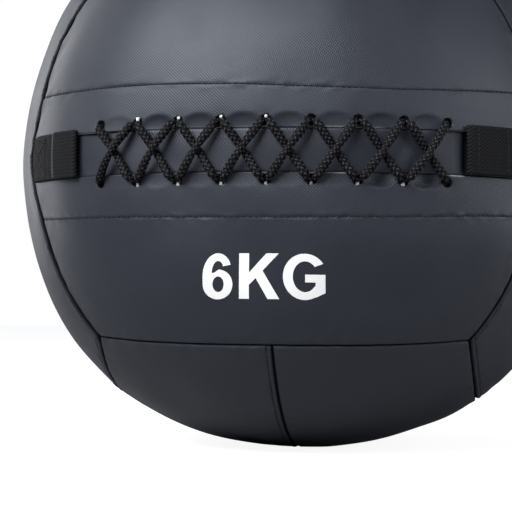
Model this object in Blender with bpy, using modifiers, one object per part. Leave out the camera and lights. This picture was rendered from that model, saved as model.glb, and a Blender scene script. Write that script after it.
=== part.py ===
"""Laced wall ball: twelve sewn cover panels round a fibre filling with a sand weight.

The cover is a ball of six faces, each made of two panels. The middle seams of neighbouring
faces run square to each other, so no two of them meet. The middle of the front face is not
sewn: it is the opening for the filling, closed by a lace over a tongue strip.

Units are metres, +Z is up, the laced face looks along -Y, and the ball rests on z = 0.
"""
import math
from collections import namedtuple

import bmesh
import bpy
from mathutils import Matrix, Vector

# Cover
BALL_RADIUS = 0.175
SQUARENESS_SHARE = 0.069
MEAN_FOURTH_SHARE = 0.6
SEAM_BOW = math.radians(53)
FOOT_WIDTH = 0.037
PANEL_WALL = 0.0011
SEAM_ROLL = 0.0016
SEAM_ALLOWANCE = 0.0085
FIT_GAP = 0.0003
PANEL_COLUMNS = 12
PANEL_ROWS = 6
FOOT_COLUMNS = 14
FRONT_COLUMNS = 24
FRONT_ROWS = 5
PROBE_SHARE = 0.01

# Laced opening across the front face
SLOT_DROP = 0.0048
SLOT_HEIGHT = 0.0235
HOLE_COUNT = 9
HOLE_PITCH = math.radians(8)
HOLE_FROM_EDGE = 0.0052
HOLE_SIDES = 12
CUT_OVERRUN = 0.003

# Facing strips behind the edges of the opening
FACING_WALL = 0.0008
FACING_HEIGHT = 0.026
FACING_STEPS = 2
FACING_INSET = 0.001

# Places of the points across a strip's width, as shares of it
STRIP_SHARES = (-0.5, 0, 0.5)

# Tongue strip
TONGUE_WALL = 0.0012
TONGUE_HOLE_GAP = 0.0002
TONGUE_OVERRUN = math.radians(2.9)
TONGUE_INSET = 0.002
TONGUE_HEM = 0.0045
TONGUE_COLUMNS = 26

# Lace
LACE_RADIUS = 0.0018
LACE_SQUEEZE_SHARE = 0.72
LACE_STOP_SHARE = 1.17
LACE_STOP_RUN = 0.0036
LACE_STOP_LENGTH = 0.0018
LACE_GAP = 0.0005
STRAND_GAP = 0.0007
HOLE_GAP = 0.00025
HOLE_MOUTH_LIFT = 0.0004
LACE_SIDES_STEP = 1
HOLE_LEAN_SHARE = 0.25
HOLE_TURN_SHARES = (0.66, 0.95)
HOLE_TURN_IN_SHARE = 0.75
FRONT_MOUTH_SHARE = 0.88
FRONT_DIP_SHARE = 0.8
BACK_SHARES = (0.2, 0.5, 0.8)
SAMPLE_SHARES = (0, 0.25, 0.5, 0.75)

# Webbing over the ends of the opening
WEBBING_WIDTH = 0.0254
WEBBING_WALL = 0.0014
WEBBING_STEP = math.radians(4)
WEBBING_SEAM_INSET = 0.003
LEFT_WEBBING_GAP = math.radians(6.3)
LEFT_WEBBING_FOLD = math.radians(7.5)
RIGHT_WEBBING_GAP = math.radians(1.1)
RIGHT_WEBBING_FOLD = math.radians(7.7)

# Filling
FILL_GAP = 0.0011
FILL_COLUMNS = 32
FILL_RINGS = 16

# Weight bag
BAG_RADIUS = 0.078
BAG_HALF_HEIGHT = 0.062
BAG_WALL = 0.0012
BAG_NECK_RADIUS = 0.010
BAG_NECK_RUN = 0.014
BAG_MOUTH_FLARE = 0.006
BAG_MOUTH_RUN = 0.020
BAG_ROUND_POINTS = 9
BAG_SIDES = 20
BAG_CLEARANCE = 0.0006
TIE_RADIUS = 0.0016

# Finishes: colour and roughness
FINISHES = {
    "vinyl": ((0.018, 0.019, 0.022), 0.45),
    "nap": ((0.55, 0.54, 0.50), 0.9),
    "cord": ((0.010, 0.010, 0.012), 0.7),
    "webbing": ((0.008, 0.008, 0.009), 0.75),
    "cotton": ((0.62, 0.58, 0.50), 0.9),
    "fibre": ((0.74, 0.73, 0.70), 0.95),
    "sand": ((0.56, 0.43, 0.28), 0.9),
}
SHARP_ANGLE = math.radians(40)
MERGE_DISTANCE = 0.0001

# Worked out from the sizes above
CORNER_SHARE = 1 / math.sqrt(3)
SEAM_LINE = FIT_GAP / 2
ROLLED_EDGE = SEAM_LINE + SEAM_ROLL
SLOT_HALF = SLOT_HEIGHT / 2
HOLE_RISE = SLOT_HALF + HOLE_FROM_EDGE
LACED_HALF = HOLE_PITCH * (HOLE_COUNT - 1) / 2
SQUEEZED_RADIUS = LACE_RADIUS * LACE_SQUEEZE_SHARE
STOP_RADIUS = LACE_RADIUS * LACE_STOP_SHARE
STRAND_SPREAD = 2 * SQUEEZED_RADIUS + STRAND_GAP
HOLE_RADIUS = STRAND_SPREAD / 2 + SQUEEZED_RADIUS + HOLE_GAP
LACE_NEIGHBOUR_RUN = 6 * LACE_RADIUS
TONGUE_LAP = HOLE_FROM_EDGE - HOLE_RADIUS - TONGUE_HOLE_GAP
TONGUE_END = LACED_HALF + TONGUE_OVERRUN
FACING_DEPTH = PANEL_WALL + FIT_GAP
TONGUE_DEPTH = FACING_DEPTH + FACING_WALL + FIT_GAP
FIRST_BACK_DEPTH = TONGUE_DEPTH + TONGUE_WALL + LACE_GAP + SQUEEZED_RADIUS
SECOND_BACK_DEPTH = FIRST_BACK_DEPTH + 2 * SQUEEZED_RADIUS + LACE_GAP
LEFT_WEBBING_END = LACED_HALF + LEFT_WEBBING_GAP
RIGHT_WEBBING_END = TONGUE_END + RIGHT_WEBBING_GAP
FLANGE_DEPTH = SEAM_ROLL + SEAM_ALLOWANCE
FILL_DEPTH = max(FLANGE_DEPTH, SECOND_BACK_DEPTH + SQUEEZED_RADIUS) + FILL_GAP
BAG_NECK_HEIGHT = BAG_HALF_HEIGHT + BAG_NECK_RUN
BAG_MOUTH_RADIUS = BAG_NECK_RADIUS + BAG_MOUTH_FLARE
BAG_MOUTH_HEIGHT = BAG_NECK_HEIGHT + BAG_MOUTH_RUN

# Halves of a face, and turns that bring the front face to each of the six
LOWER, UPPER = -1, 1
FACE_TURNS = {
    "front": Matrix.Identity(3),
    "back": Matrix(((-1, 0, 0), (0, -1, 0), (0, 0, 1))),
    "bottom": Matrix(((0, 0, 1), (1, 0, 0), (0, 1, 0))),
    "top": Matrix(((0, 0, 1), (-1, 0, 0), (0, -1, 0))),
    "left": Matrix(((0, 1, 0), (0, 0, 1), (1, 0, 0))),
    "right": Matrix(((0, -1, 0), (0, 0, -1), (1, 0, 0))),
}
SEWN_PANELS = (
    ("back_lower_panel", "back", LOWER),
    ("back_upper_panel", "back", UPPER),
    ("bottom_left_panel", "bottom", LOWER),
    ("bottom_right_panel", "bottom", UPPER),
    ("top_left_panel", "top", LOWER),
    ("top_right_panel", "top", UPPER),
    ("left_front_panel", "left", LOWER),
    ("left_back_panel", "left", UPPER),
    ("right_front_panel", "right", UPPER),
    ("right_back_panel", "right", LOWER),
)

# A line of a panel's grid: a length from its near or far edge, or a share of what lies between
NEAR, BETWEEN, FAR = "near", "between", "far"
Station = namedtuple("Station", "kind length share")


def clear_scene():
    """Remove what the scene holds."""
    for thing in list(bpy.data.objects):
        bpy.data.objects.remove(thing, do_unlink=True)


def make_collection(name):
    """A new collection in the scene."""
    collection = bpy.data.collections.new(name)
    bpy.context.scene.collection.children.link(collection)
    return collection


def make_material(name, colour, roughness):
    """A plain Principled BSDF material."""
    material = bpy.data.materials.new(name)
    material.use_nodes = True
    shader = material.node_tree.nodes["Principled BSDF"]
    shader.inputs["Base Color"].default_value = (*colour, 1)
    shader.inputs["Roughness"].default_value = roughness
    shader.inputs["Metallic"].default_value = 0
    return material


def place(name, data, collection, centre, material=None):
    """An object of the ball, carried by the empty at the ball's centre."""
    thing = bpy.data.objects.new(name, data)
    collection.objects.link(thing)
    thing.parent = centre
    if material:
        data.materials.append(material)
    return thing


def smooth(mesh):
    """Shade a mesh smooth, with its edges kept sharp."""
    mesh.shade_smooth()
    mesh.set_sharp_from_angle(angle=SHARP_ANGLE)


def mix(start, end, share):
    """A value between two others."""
    return start + (end - start) * share


def cover_radius(direction):
    """Distance from the centre to the outer surface along a unit direction."""
    fourth = sum(part ** 4 for part in direction)
    return BALL_RADIUS * (1 - SQUARENESS_SHARE * (fourth - MEAN_FOURTH_SHARE))


def cover_point(direction, depth=0):
    """The point at a depth under the outer surface along a direction."""
    outward = direction.normalized()
    return outward * (cover_radius(outward) - depth)


def foot_height():
    """Height of the resting flat, measured down from the ball's centre."""
    lean = math.asin(FOOT_WIDTH / math.sqrt(2) / cover_radius(Vector((0, 0, -1))))
    side = math.sin(lean) / math.sqrt(2)
    return cover_radius(Vector((side, side, -math.cos(lean)))) * math.cos(lean)


def side_seam(height_share, side):
    """Direction of a face's left (-1) or right (1) seam, at -1 to 1 of its corners' height.

    The seam lies in one plane through the two corners, bowed away from the face's centre.
    """
    height = height_share * CORNER_SHARE
    corner = Vector((CORNER_SHARE, -CORNER_SHARE))
    run = Vector((math.sin(SEAM_BOW), -math.cos(SEAM_BOW))) - corner
    square, slope = run.dot(run), 2 * corner.dot(run)
    rest = corner.dot(corner) - 1 + height ** 2
    reach = (math.sqrt(slope ** 2 - 4 * square * rest) - slope) / (2 * square)
    flat = corner + run * reach
    return Vector((side * flat.x, flat.y, height))


def rim_seam(across_share, half):
    """Direction of the lower or upper seam of a face, at -1 to 1 of the way across."""
    seam = side_seam(across_share, -1)
    return Vector((seam.z, seam.x, -half * seam.y))


def face_direction(azimuth, rise):
    """Direction on the front face at an angle from its middle and a height above its middle."""
    level = Vector((math.sin(azimuth), -math.cos(azimuth), 0))
    lift = rise / cover_radius(level)
    return level * math.sqrt(1 - lift ** 2) + Vector((0, 0, lift))


def seam_share(rise):
    """Share of the corner height at which a side seam passes a height."""
    level = Vector((math.sin(SEAM_BOW), -math.cos(SEAM_BOW), 0))
    return rise / cover_radius(level) / CORNER_SHARE


def seam_azimuth(rise):
    """Angle from the middle of the front face to its side seam, at a height."""
    seam = side_seam(seam_share(rise), 1)
    return math.atan2(seam.x, -seam.y)


class PanelPatch:
    """One half of a face: u runs from left to right, v from the face's middle to its rim."""

    def __init__(self, half, inner_rise):
        self.half = half
        self.inner_rise = inner_rise
        self.inner_share = seam_share(inner_rise)
        self.reach = seam_azimuth(inner_rise)

    def inner(self, u):
        """Direction on the edge along the middle of the face."""
        return face_direction(mix(-self.reach, self.reach, u), self.inner_rise)

    def outer(self, u):
        """Direction on the rim seam."""
        return rim_seam(mix(-1, 1, u), self.half)

    def side(self, v, side):
        """Direction on a side seam."""
        return side_seam(mix(self.inner_share, self.half, v), side)

    def direction(self, u, v):
        """Direction inside the panel, blended from its four edges."""
        edges = self.inner(u) * (1 - v) + self.outer(u) * v
        edges += self.side(v, -1) * (1 - u) + self.side(v, 1) * u
        corners = (self.inner(0) * (1 - u) + self.inner(1) * u) * (1 - v)
        corners += (self.outer(0) * (1 - u) + self.outer(1) * u) * v
        return (edges - corners).normalized()

    def edge_share(self, length, across_u, end, other):
        """Share of u, or else of v, that lies a length away from an edge, square to the edge."""

        def spot(inward, sideways):
            pair = (end + inward, other + sideways)
            return self.direction(*(pair if across_u else pair[::-1]))

        inward = -PROBE_SHARE if end else PROBE_SHARE
        sideways = PROBE_SHARE if other < 1 / 2 else -PROBE_SHARE
        across = spot(inward, 0) - spot(0, 0)
        along = (spot(0, sideways) - spot(0, 0)).normalized()
        return length * PROBE_SHARE / (across.cross(along).length * BALL_RADIUS)

    def station_share(self, station, across_u, other):
        """Share of u, or else of v, at which a station lies."""
        if station.kind == FAR:
            return 1 - self.edge_share(station.length, across_u, 1, other)
        start = self.edge_share(station.length, across_u, 0, other)
        if station.kind == NEAR:
            return start
        return mix(start, 1 - self.edge_share(ROLLED_EDGE, across_u, 1, other), station.share)

    def spot(self, column, row):
        """Direction of the grid point of a column and a row station."""
        u = self.station_share(column, True, row.share)
        v = self.station_share(row, False, column.share)
        return self.direction(self.station_share(column, True, v),
                              self.station_share(row, False, u))


def even_stations(start, cells):
    """Stations at even steps from a length inside one edge to the roll of the other."""
    return [Station(BETWEEN, start, k / cells) for k in range(cells + 1)]


def sewn_stations(cells):
    """Stations between two sewn edges, each of which rolls in."""
    return [Station(NEAR, SEAM_LINE, 0), *even_stations(ROLLED_EDGE, cells),
            Station(FAR, SEAM_LINE, 1)]


def free_stations(cells):
    """Stations from a free edge with a facing strip behind it to a sewn edge."""
    facing = [Station(NEAR, FACING_HEIGHT * k / FACING_STEPS, 0) for k in range(FACING_STEPS)]
    return [*facing, *even_stations(FACING_HEIGHT, cells), Station(FAR, SEAM_LINE, 1)]


def move_to_foot(columns, rows, patch):
    """Set the stations next to the lowest point on the edges of the resting flat."""
    share = FOOT_WIDTH / 2 / (2 * patch.reach * cover_radius(Vector((0, -1, 0))))
    middle = len(columns) // 2
    columns[middle - 1] = Station(BETWEEN, ROLLED_EDGE, 1 / 2 - share)
    columns[middle + 1] = Station(BETWEEN, ROLLED_EDGE, 1 / 2 + share)
    rows[2] = Station(NEAR, FOOT_WIDTH / 2, 0)
    return {(column, row) for column in (middle - 1, middle, middle + 1) for row in (1, 2)}


def grid_mesh(columns, rows, position):
    """An open grid whose points are set by a function of their column and row."""
    grid = bmesh.new()
    bmesh.ops.create_grid(grid, x_segments=columns - 1, y_segments=rows - 1, size=1 / 2)
    row_of = {}
    for vertex in grid.verts:
        column = round((vertex.co.x + 1 / 2) * (columns - 1))
        row_of[vertex] = round((vertex.co.y + 1 / 2) * (rows - 1))
        vertex.co = position(column, row_of[vertex])
    return grid, row_of


def face_outward(grid):
    """Turn an open surface over if its faces look at the ball's centre."""
    grid.normal_update()
    if sum(face.normal.dot(face.calc_center_median()) for face in grid.faces) < 0:
        bmesh.ops.reverse_faces(grid, faces=grid.faces[:])


def add_solidify(thing, wall, offset=-1):
    """Give a sheet its thickness, inward from its surface unless an offset says otherwise."""
    solidify = thing.modifiers.new("Wall", "SOLIDIFY")
    solidify.thickness = wall
    solidify.offset = offset
    solidify.use_even_offset = True


def finish_sheet(name, grid, wall, scene, material, offset=-1):
    """Make an open surface an object with a wall."""
    mesh = bpy.data.meshes.new(name)
    grid.to_mesh(mesh)
    grid.free()
    smooth(mesh)
    thing = place(name, mesh, scene["parts"], scene["centre"], material)
    add_solidify(thing, wall, offset)
    return thing


def build_panel(name, face, half, scene, material, inner_rise=0, free_edge=False):
    """A cover panel: a crowned sheet whose sewn edges roll in and hang as seam allowances."""
    patch = PanelPatch(half, inner_rise)
    if free_edge:
        columns, rows = sewn_stations(FRONT_COLUMNS), free_stations(FRONT_ROWS)
    else:
        columns = sewn_stations(FOOT_COLUMNS if face == "bottom" else PANEL_COLUMNS)
        rows = sewn_stations(PANEL_ROWS)
    foot = move_to_foot(columns, rows, patch) if face == "bottom" else ()
    sewn_rows = {len(rows) - 1} if free_edge else {0, len(rows) - 1}
    turn = FACE_TURNS[face]
    flat = foot_height()

    def position(column, row):
        rolled = column in (0, len(columns) - 1) or row in sewn_rows
        direction = turn @ patch.spot(columns[column], rows[row])
        point = cover_point(direction, SEAM_ROLL if rolled else 0)
        point.z = -flat if (column, row) in foot else max(point.z, -flat)
        return point

    grid, row_of = grid_mesh(len(columns), len(rows), position)
    face_outward(grid)
    rim = [edge for edge in grid.edges if edge.is_boundary]
    if free_edge:
        rim = [edge for edge in rim if any(row_of[vertex] for vertex in edge.verts)]
    for part in bmesh.ops.extrude_edge_only(grid, edges=rim)["geom"]:
        if isinstance(part, bmesh.types.BMVert):
            part.co = cover_point(part.co, FLANGE_DEPTH)
    return finish_sheet(name, grid, PANEL_WALL, scene, material)


def build_facing(name, half, inner_rise, scene, material):
    """The strip sewn behind a free edge: it follows the panel's own first rows."""
    patch = PanelPatch(half, inner_rise)
    inset = ROLLED_EDGE + FACING_INSET
    even = sewn_stations(FRONT_COLUMNS)[2:-2]
    columns = [Station(NEAR, inset, 0), *even, Station(FAR, inset, 1)]
    rows = free_stations(FRONT_ROWS)[:FACING_STEPS + 1]

    def position(column, row):
        return cover_point(patch.spot(columns[column], rows[row]), FACING_DEPTH)

    grid, _ = grid_mesh(len(columns), len(rows), position)
    face_outward(grid)
    return finish_sheet(name, grid, FACING_WALL, scene, material)


def slot_point(azimuth, rise, height):
    """A point over the opening: an angle across, a rise from its middle, a height above it."""
    return cover_point(face_direction(azimuth, rise - SLOT_DROP), -height)


def hole_azimuths():
    """Angles of the lacing holes, from left to right."""
    return [k * HOLE_PITCH - LACED_HALF for k in range(HOLE_COUNT)]


def hide_cutter(cutter):
    """Keep a cutter out of the picture."""
    cutter.hide_render = True
    cutter.display_type = "WIRE"
    return cutter


def add_cut(thing, cutter):
    """Cut a piece with a cutter."""
    cut = thing.modifiers.new("Cut", "BOOLEAN")
    cut.operation = "DIFFERENCE"
    cut.solver = "EXACT"
    cut.object = cutter


def build_hole_punch(name, half, scene):
    """The punch that makes one row of lacing holes."""
    punch = bmesh.new()
    depth = FACING_DEPTH + FACING_WALL + 2 * CUT_OVERRUN
    for azimuth in hole_azimuths():
        centre = slot_point(azimuth, half * HOLE_RISE, CUT_OVERRUN - depth / 2)
        turn = centre.to_track_quat("Z", "Y").to_matrix().to_4x4()
        bmesh.ops.create_cone(
            punch, cap_ends=True, segments=HOLE_SIDES, radius1=HOLE_RADIUS, radius2=HOLE_RADIUS,
            depth=depth, matrix=Matrix.Translation(centre) @ turn)
    mesh = bpy.data.meshes.new(name)
    punch.to_mesh(mesh)
    punch.free()
    return hide_cutter(place(name, mesh, scene["cutters"], scene["centre"]))


def build_front(scene, materials):
    """Front panels with their facing strips, punched together."""
    for word, half in (("lower", LOWER), ("upper", UPPER)):
        edge = half * SLOT_HALF - SLOT_DROP
        punch = build_hole_punch(f"{word}_hole_punch", half, scene)
        panel = build_panel(f"front_{word}_panel", "front", half, scene, materials["vinyl"],
                            edge, True)
        facing = build_facing(f"{word}_facing_strip", half, edge, scene, materials["nap"])
        add_cut(panel, punch)
        add_cut(facing, punch)


def build_tongue(scene, material):
    """The strip behind the opening, folded under in a hem at its right end."""
    half = SLOT_HALF + TONGUE_LAP
    start = TONGUE_INSET / BALL_RADIUS - seam_azimuth(-SLOT_DROP)
    middle = TONGUE_DEPTH + TONGUE_WALL / 2
    under = middle + TONGUE_WALL + FIT_GAP
    hem = TONGUE_END - TONGUE_HEM / BALL_RADIUS
    path = [(mix(start, TONGUE_END, k / TONGUE_COLUMNS), middle) for k in range(TONGUE_COLUMNS)]
    path += [(TONGUE_END, middle), (TONGUE_END, under), (hem, under)]

    def position(column, row):
        azimuth, depth = path[column]
        return slot_point(azimuth, 2 * half * STRIP_SHARES[row], -depth)

    grid, _ = grid_mesh(len(path), len(STRIP_SHARES), position)
    finish_sheet("tongue_strip", grid, TONGUE_WALL, scene, material, offset=0)


def webbing_run(start, end, height):
    """Stations of a stretch of webbing that lies at one height."""
    cells = math.ceil(abs(end - start) / WEBBING_STEP)
    return [(mix(start, end, k / cells), height) for k in range(cells + 1)]


def build_webbing(name, side, end, fold, folded_over, scene, material):
    """A keeper from the side seam to the opening, with its end folded back over or under it."""
    low = FIT_GAP + WEBBING_WALL / 2
    high = low + WEBBING_WALL + FIT_GAP
    seam = seam_azimuth(-SLOT_DROP) - WEBBING_SEAM_INSET / BALL_RADIUS
    if folded_over:
        path = webbing_run(seam, end, low) + webbing_run(end, end + fold, high)
    else:
        path = [(seam, low), *webbing_run(seam, end, high)[1:]]
        path += webbing_run(end, end + fold, low)

    def position(column, row):
        azimuth, height = path[column]
        return slot_point(side * azimuth, WEBBING_WIDTH * STRIP_SHARES[row], height)

    grid, _ = grid_mesh(len(path), len(STRIP_SHARES), position)
    finish_sheet(name, grid, WEBBING_WALL, scene, material, offset=0)


class LaceRoute:
    """The lace's way through the holes: angle, rise, height and radius of each of its points."""

    def __init__(self):
        self.stops = []

    def front_strand(self, start, end, middle_height):
        """From the mouth of an upper hole down over the opening to that of a lower one."""
        lift = LACE_RADIUS + LACE_GAP / 2
        mouth = HOLE_RISE - LACE_RADIUS
        upper = [
            (mouth, lift * FRONT_MOUTH_SHARE, LACE_RADIUS * FRONT_MOUTH_SHARE),
            (SLOT_HALF, lift, LACE_RADIUS),
            (SLOT_HALF / 2, mix(lift, middle_height, FRONT_DIP_SHARE), LACE_RADIUS),
        ]
        lower = [(-rise, height, radius) for rise, height, radius in reversed(upper)]
        for rise, height, radius in upper + [(0, middle_height, LACE_RADIUS)] + lower:
            azimuth = mix(start, end, (1 - rise / HOLE_RISE) / 2)
            self.stops.append((azimuth, rise, height, radius))

    def through(self, azimuth, half, inward, depth):
        """In or out through a hole of the lower or upper row."""
        hole = HOLE_RISE - LACE_RADIUS * HOLE_LEAN_SHARE
        turned_in = hole - LACE_RADIUS * HOLE_TURN_IN_SHARE
        steps = [(hole, HOLE_MOUTH_LIFT), (hole, -depth * HOLE_TURN_SHARES[0]),
                 (turned_in, -depth * HOLE_TURN_SHARES[1])]
        for rise, height in steps if inward else reversed(steps):
            self.stops.append((azimuth, half * rise, height, SQUEEZED_RADIUS))

    def back_strand(self, start, end, depth):
        """Behind the tongue from a lower hole up to an upper one."""
        for share in BACK_SHARES:
            rise = mix(-HOLE_RISE, HOLE_RISE, share)
            self.stops.append((mix(start, end, share), rise, -depth, SQUEEZED_RADIUS))

    def knot(self, azimuth, half, depth, last):
        """The thick end of the lace, held behind the tongue."""
        near = HOLE_RISE - LACE_STOP_RUN
        ends = [(azimuth, half * rise, -depth - FIT_GAP, STOP_RADIUS)
                for rise in (near, near - LACE_STOP_LENGTH)]
        self.stops.extend(ends if last else reversed(ends))

    def points(self):
        """Points and radii of the lace on the ball."""
        return [(slot_point(azimuth, rise, height), radius)
                for azimuth, rise, height, radius in self.stops]


def plan_lace():
    """One lace in two passes: each crosses the front slantwise and comes back behind."""
    holes = hole_azimuths()
    spread = STRAND_SPREAD / 2 / BALL_RADIUS
    low = LACE_RADIUS + LACE_GAP - TONGUE_DEPTH
    high = low + 2 * LACE_RADIUS + LACE_GAP
    route = LaceRoute()
    route.knot(holes[0] + spread, UPPER, FIRST_BACK_DEPTH, False)
    route.through(holes[0] + spread, UPPER, False, FIRST_BACK_DEPTH)
    for here, there in zip(holes, holes[1:]):
        rising = there - spread if there == holes[-1] else there + spread
        route.front_strand(here + spread, there - spread, low)
        route.through(there - spread, LOWER, True, FIRST_BACK_DEPTH)
        route.back_strand(there - spread, rising, FIRST_BACK_DEPTH)
        route.through(rising, UPPER, False, FIRST_BACK_DEPTH)
    for here, there in zip(holes[::-1], holes[-2::-1]):
        depth = FIRST_BACK_DEPTH if there == holes[0] else SECOND_BACK_DEPTH
        route.front_strand(here - spread, there + spread, high)
        route.through(there + spread, LOWER, True, depth)
        if there != holes[0]:
            route.back_strand(there + spread, there - spread, depth)
            route.through(there - spread, UPPER, False, depth)
    route.knot(holes[0] + spread, LOWER, FIRST_BACK_DEPTH, True)
    return route.points()


def measure_lace(points):
    """Length of a tube, and the least clear distance between stretches that are not neighbours."""
    samples = []
    length = 0
    for (start, start_radius), (end, end_radius) in zip(points, points[1:]):
        step = (end - start).length
        for share in SAMPLE_SHARES:
            samples.append((mix(start, end, share), mix(start_radius, end_radius, share),
                            length + step * share))
        length += step
    least = BALL_RADIUS
    for index, (spot, radius, along) in enumerate(samples):
        for other, other_radius, other_along in samples[index + 1:]:
            if other_along - along > LACE_NEIGHBOUR_RUN:
                least = min(least, (spot - other).length - radius - other_radius)
    return length, least


def poly_curve(name, points):
    """A round curve object's data from points and radii."""
    curve = bpy.data.curves.new(name, "CURVE")
    curve.dimensions = "3D"
    curve.bevel_depth = max(radius for _, radius in points)
    curve.bevel_resolution = LACE_SIDES_STEP
    curve.use_fill_caps = True
    spline = curve.splines.new("POLY")
    spline.points.add(len(points) - 1)
    for target, (point, radius) in zip(spline.points, points):
        target.co = (*point, 1)
        target.radius = radius / curve.bevel_depth
    return curve


def build_lace(scene, material):
    """The lace that closes the opening, from knot to knot."""
    points = plan_lace()
    length, least = measure_lace(points)
    print(f"lace: {len(points)} points, {length:.3f} m long, least gap to itself {least:.5f} m")
    place("lace", poly_curve("lace", points), scene["parts"], scene["centre"], material)


def bag_body(outset):
    """Radius and height of the bag's round body, from its shoulder down to its bottom."""
    shoulder = math.asin(BAG_NECK_RADIUS / BAG_RADIUS)
    turns = [mix(shoulder, math.pi, k / BAG_ROUND_POINTS) for k in range(BAG_ROUND_POINTS)]
    round_part = [((BAG_RADIUS + outset) * math.sin(turn),
                   (BAG_HALF_HEIGHT + outset) * math.cos(turn)) for turn in turns]
    return round_part + [(0, -BAG_HALF_HEIGHT - outset)]


def turned(name, profile, collection, scene, material=None):
    """A turned shape from a profile that runs from its top down its outer side."""
    mesh = bpy.data.meshes.new(name)
    points = [(radius, 0, height) for radius, height in profile]
    mesh.from_pydata(points, [(k, k + 1) for k in range(len(points) - 1)], [])
    thing = place(name, mesh, collection, scene["centre"], material)
    screw = thing.modifiers.new("Turn", "SCREW")
    screw.steps = BAG_SIDES
    screw.render_steps = BAG_SIDES
    screw.use_merge_vertices = True
    screw.merge_threshold = MERGE_DISTANCE
    screw.use_smooth_shade = True
    return thing


def build_weight(scene, materials):
    """Sand in a cloth bag, with a cord tied round the bag's neck."""
    heap = bag_body(-BAG_WALL - FIT_GAP)
    turned("sand_fill", [(0, heap[0][1])] + heap, scene["parts"], scene, materials["sand"])
    neck = [(BAG_MOUTH_RADIUS, BAG_MOUTH_HEIGHT), (BAG_NECK_RADIUS, BAG_NECK_HEIGHT)]
    bag = turned("sand_bag", neck + bag_body(0), scene["parts"], scene, materials["cotton"])
    add_solidify(bag, BAG_WALL)
    reach = BAG_NECK_RADIUS + TIE_RADIUS + FIT_GAP
    height = BAG_NECK_HEIGHT - TIE_RADIUS
    turns = [math.tau * k / BAG_SIDES for k in range(BAG_SIDES)]
    ring = poly_curve("bag_tie", [((reach * math.cos(turn), reach * math.sin(turn), height),
                                   TIE_RADIUS) for turn in turns])
    ring.splines[0].use_cyclic_u = True
    place("bag_tie", ring, scene["parts"], scene["centre"], materials["cord"])


def build_filling(scene, material):
    """Two halves of packed fibre that hold the weight bag between them."""
    wide = BAG_MOUTH_RADIUS + BAG_CLEARANCE
    high = BAG_MOUTH_HEIGHT + BAG_CLEARANCE
    body = [spot for spot in bag_body(BAG_CLEARANCE) if spot[0] > wide or spot[1] < 0]
    throat = [(0, high), (wide, high), (wide, BAG_HALF_HEIGHT + BAG_CLEARANCE)]
    hollow = hide_cutter(turned("weight_hollow", throat + body, scene["cutters"], scene))
    for name, side in (("lower_fibre_fill", LOWER), ("upper_fibre_fill", UPPER)):
        ball = bmesh.new()
        bmesh.ops.create_uvsphere(ball, u_segments=FILL_COLUMNS, v_segments=FILL_RINGS, radius=1)
        for vertex in ball.verts:
            vertex.co = cover_point(vertex.co, FILL_DEPTH)
        cut = bmesh.ops.bisect_plane(
            ball, geom=ball.verts[:] + ball.edges[:] + ball.faces[:],
            plane_co=(0, 0, side * SEAM_LINE), plane_no=(0, 0, -side), clear_outer=True)
        rim = [part for part in cut["geom_cut"] if isinstance(part, bmesh.types.BMEdge)]
        bmesh.ops.edgenet_fill(ball, edges=rim)
        bmesh.ops.recalc_face_normals(ball, faces=ball.faces[:])
        mesh = bpy.data.meshes.new(name)
        ball.to_mesh(mesh)
        ball.free()
        smooth(mesh)
        add_cut(place(name, mesh, scene["parts"], scene["centre"], material), hollow)


def build_ball():
    """Build every piece of the ball."""
    clear_scene()
    scene = {"parts": make_collection("wall_ball"), "cutters": make_collection("cutters")}
    centre = bpy.data.objects.new("ball_centre", None)
    centre.location = (0, 0, foot_height())
    scene["parts"].objects.link(centre)
    scene["centre"] = centre
    materials = {name: make_material(name, *finish) for name, finish in FINISHES.items()}
    build_front(scene, materials)
    for name, face, half in SEWN_PANELS:
        build_panel(name, face, half, scene, materials["vinyl"])
    build_tongue(scene, materials["vinyl"])
    build_webbing("left_webbing_keeper", -1, LEFT_WEBBING_END, LEFT_WEBBING_FOLD, True, scene,
                  materials["webbing"])
    build_webbing("right_webbing_keeper", 1, RIGHT_WEBBING_END, RIGHT_WEBBING_FOLD, False, scene,
                  materials["webbing"])
    build_lace(scene, materials["cord"])
    build_weight(scene, materials)
    build_filling(scene, materials["fibre"])


build_ball()
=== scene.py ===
"""Looks of a laced wall ball: fine cover, real lacing, stitching, webbing and filling.

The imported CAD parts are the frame. Each sub-assembly below is a class that holds its sizes,
builds its meshes on the ball's centre and dresses them. Lengths are metres, +Z is up and the
laced face looks along -Y.
"""

import logging
import math
from dataclasses import dataclass, field
from enum import Enum
from typing import Any, ClassVar, Sequence

import bmesh
import bpy
import numpy as np
from bpy.types import ID, Material, Mesh, Node, NodeSocket, Object
from mathutils import Matrix, Vector

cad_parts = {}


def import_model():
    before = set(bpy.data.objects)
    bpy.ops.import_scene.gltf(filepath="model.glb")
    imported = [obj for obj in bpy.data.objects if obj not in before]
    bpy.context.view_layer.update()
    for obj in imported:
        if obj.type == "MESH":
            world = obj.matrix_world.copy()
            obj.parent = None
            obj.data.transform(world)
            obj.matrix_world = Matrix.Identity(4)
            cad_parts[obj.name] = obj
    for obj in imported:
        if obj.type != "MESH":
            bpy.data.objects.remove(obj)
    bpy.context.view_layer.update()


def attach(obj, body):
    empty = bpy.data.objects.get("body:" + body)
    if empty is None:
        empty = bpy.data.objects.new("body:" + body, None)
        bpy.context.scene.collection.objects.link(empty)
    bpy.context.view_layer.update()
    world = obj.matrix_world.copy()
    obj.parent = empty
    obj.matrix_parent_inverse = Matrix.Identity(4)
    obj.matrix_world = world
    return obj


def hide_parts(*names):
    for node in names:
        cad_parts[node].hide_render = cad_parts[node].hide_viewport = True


LOG = logging.getLogger("wall_ball")
MM = 0.001
Array = np.ndarray
Pair = tuple[float, float]
Triple = tuple[float, float, float]


class Half(Enum):
    """The two halves of a face of the cover."""

    LOWER = -1
    UPPER = 1


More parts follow.
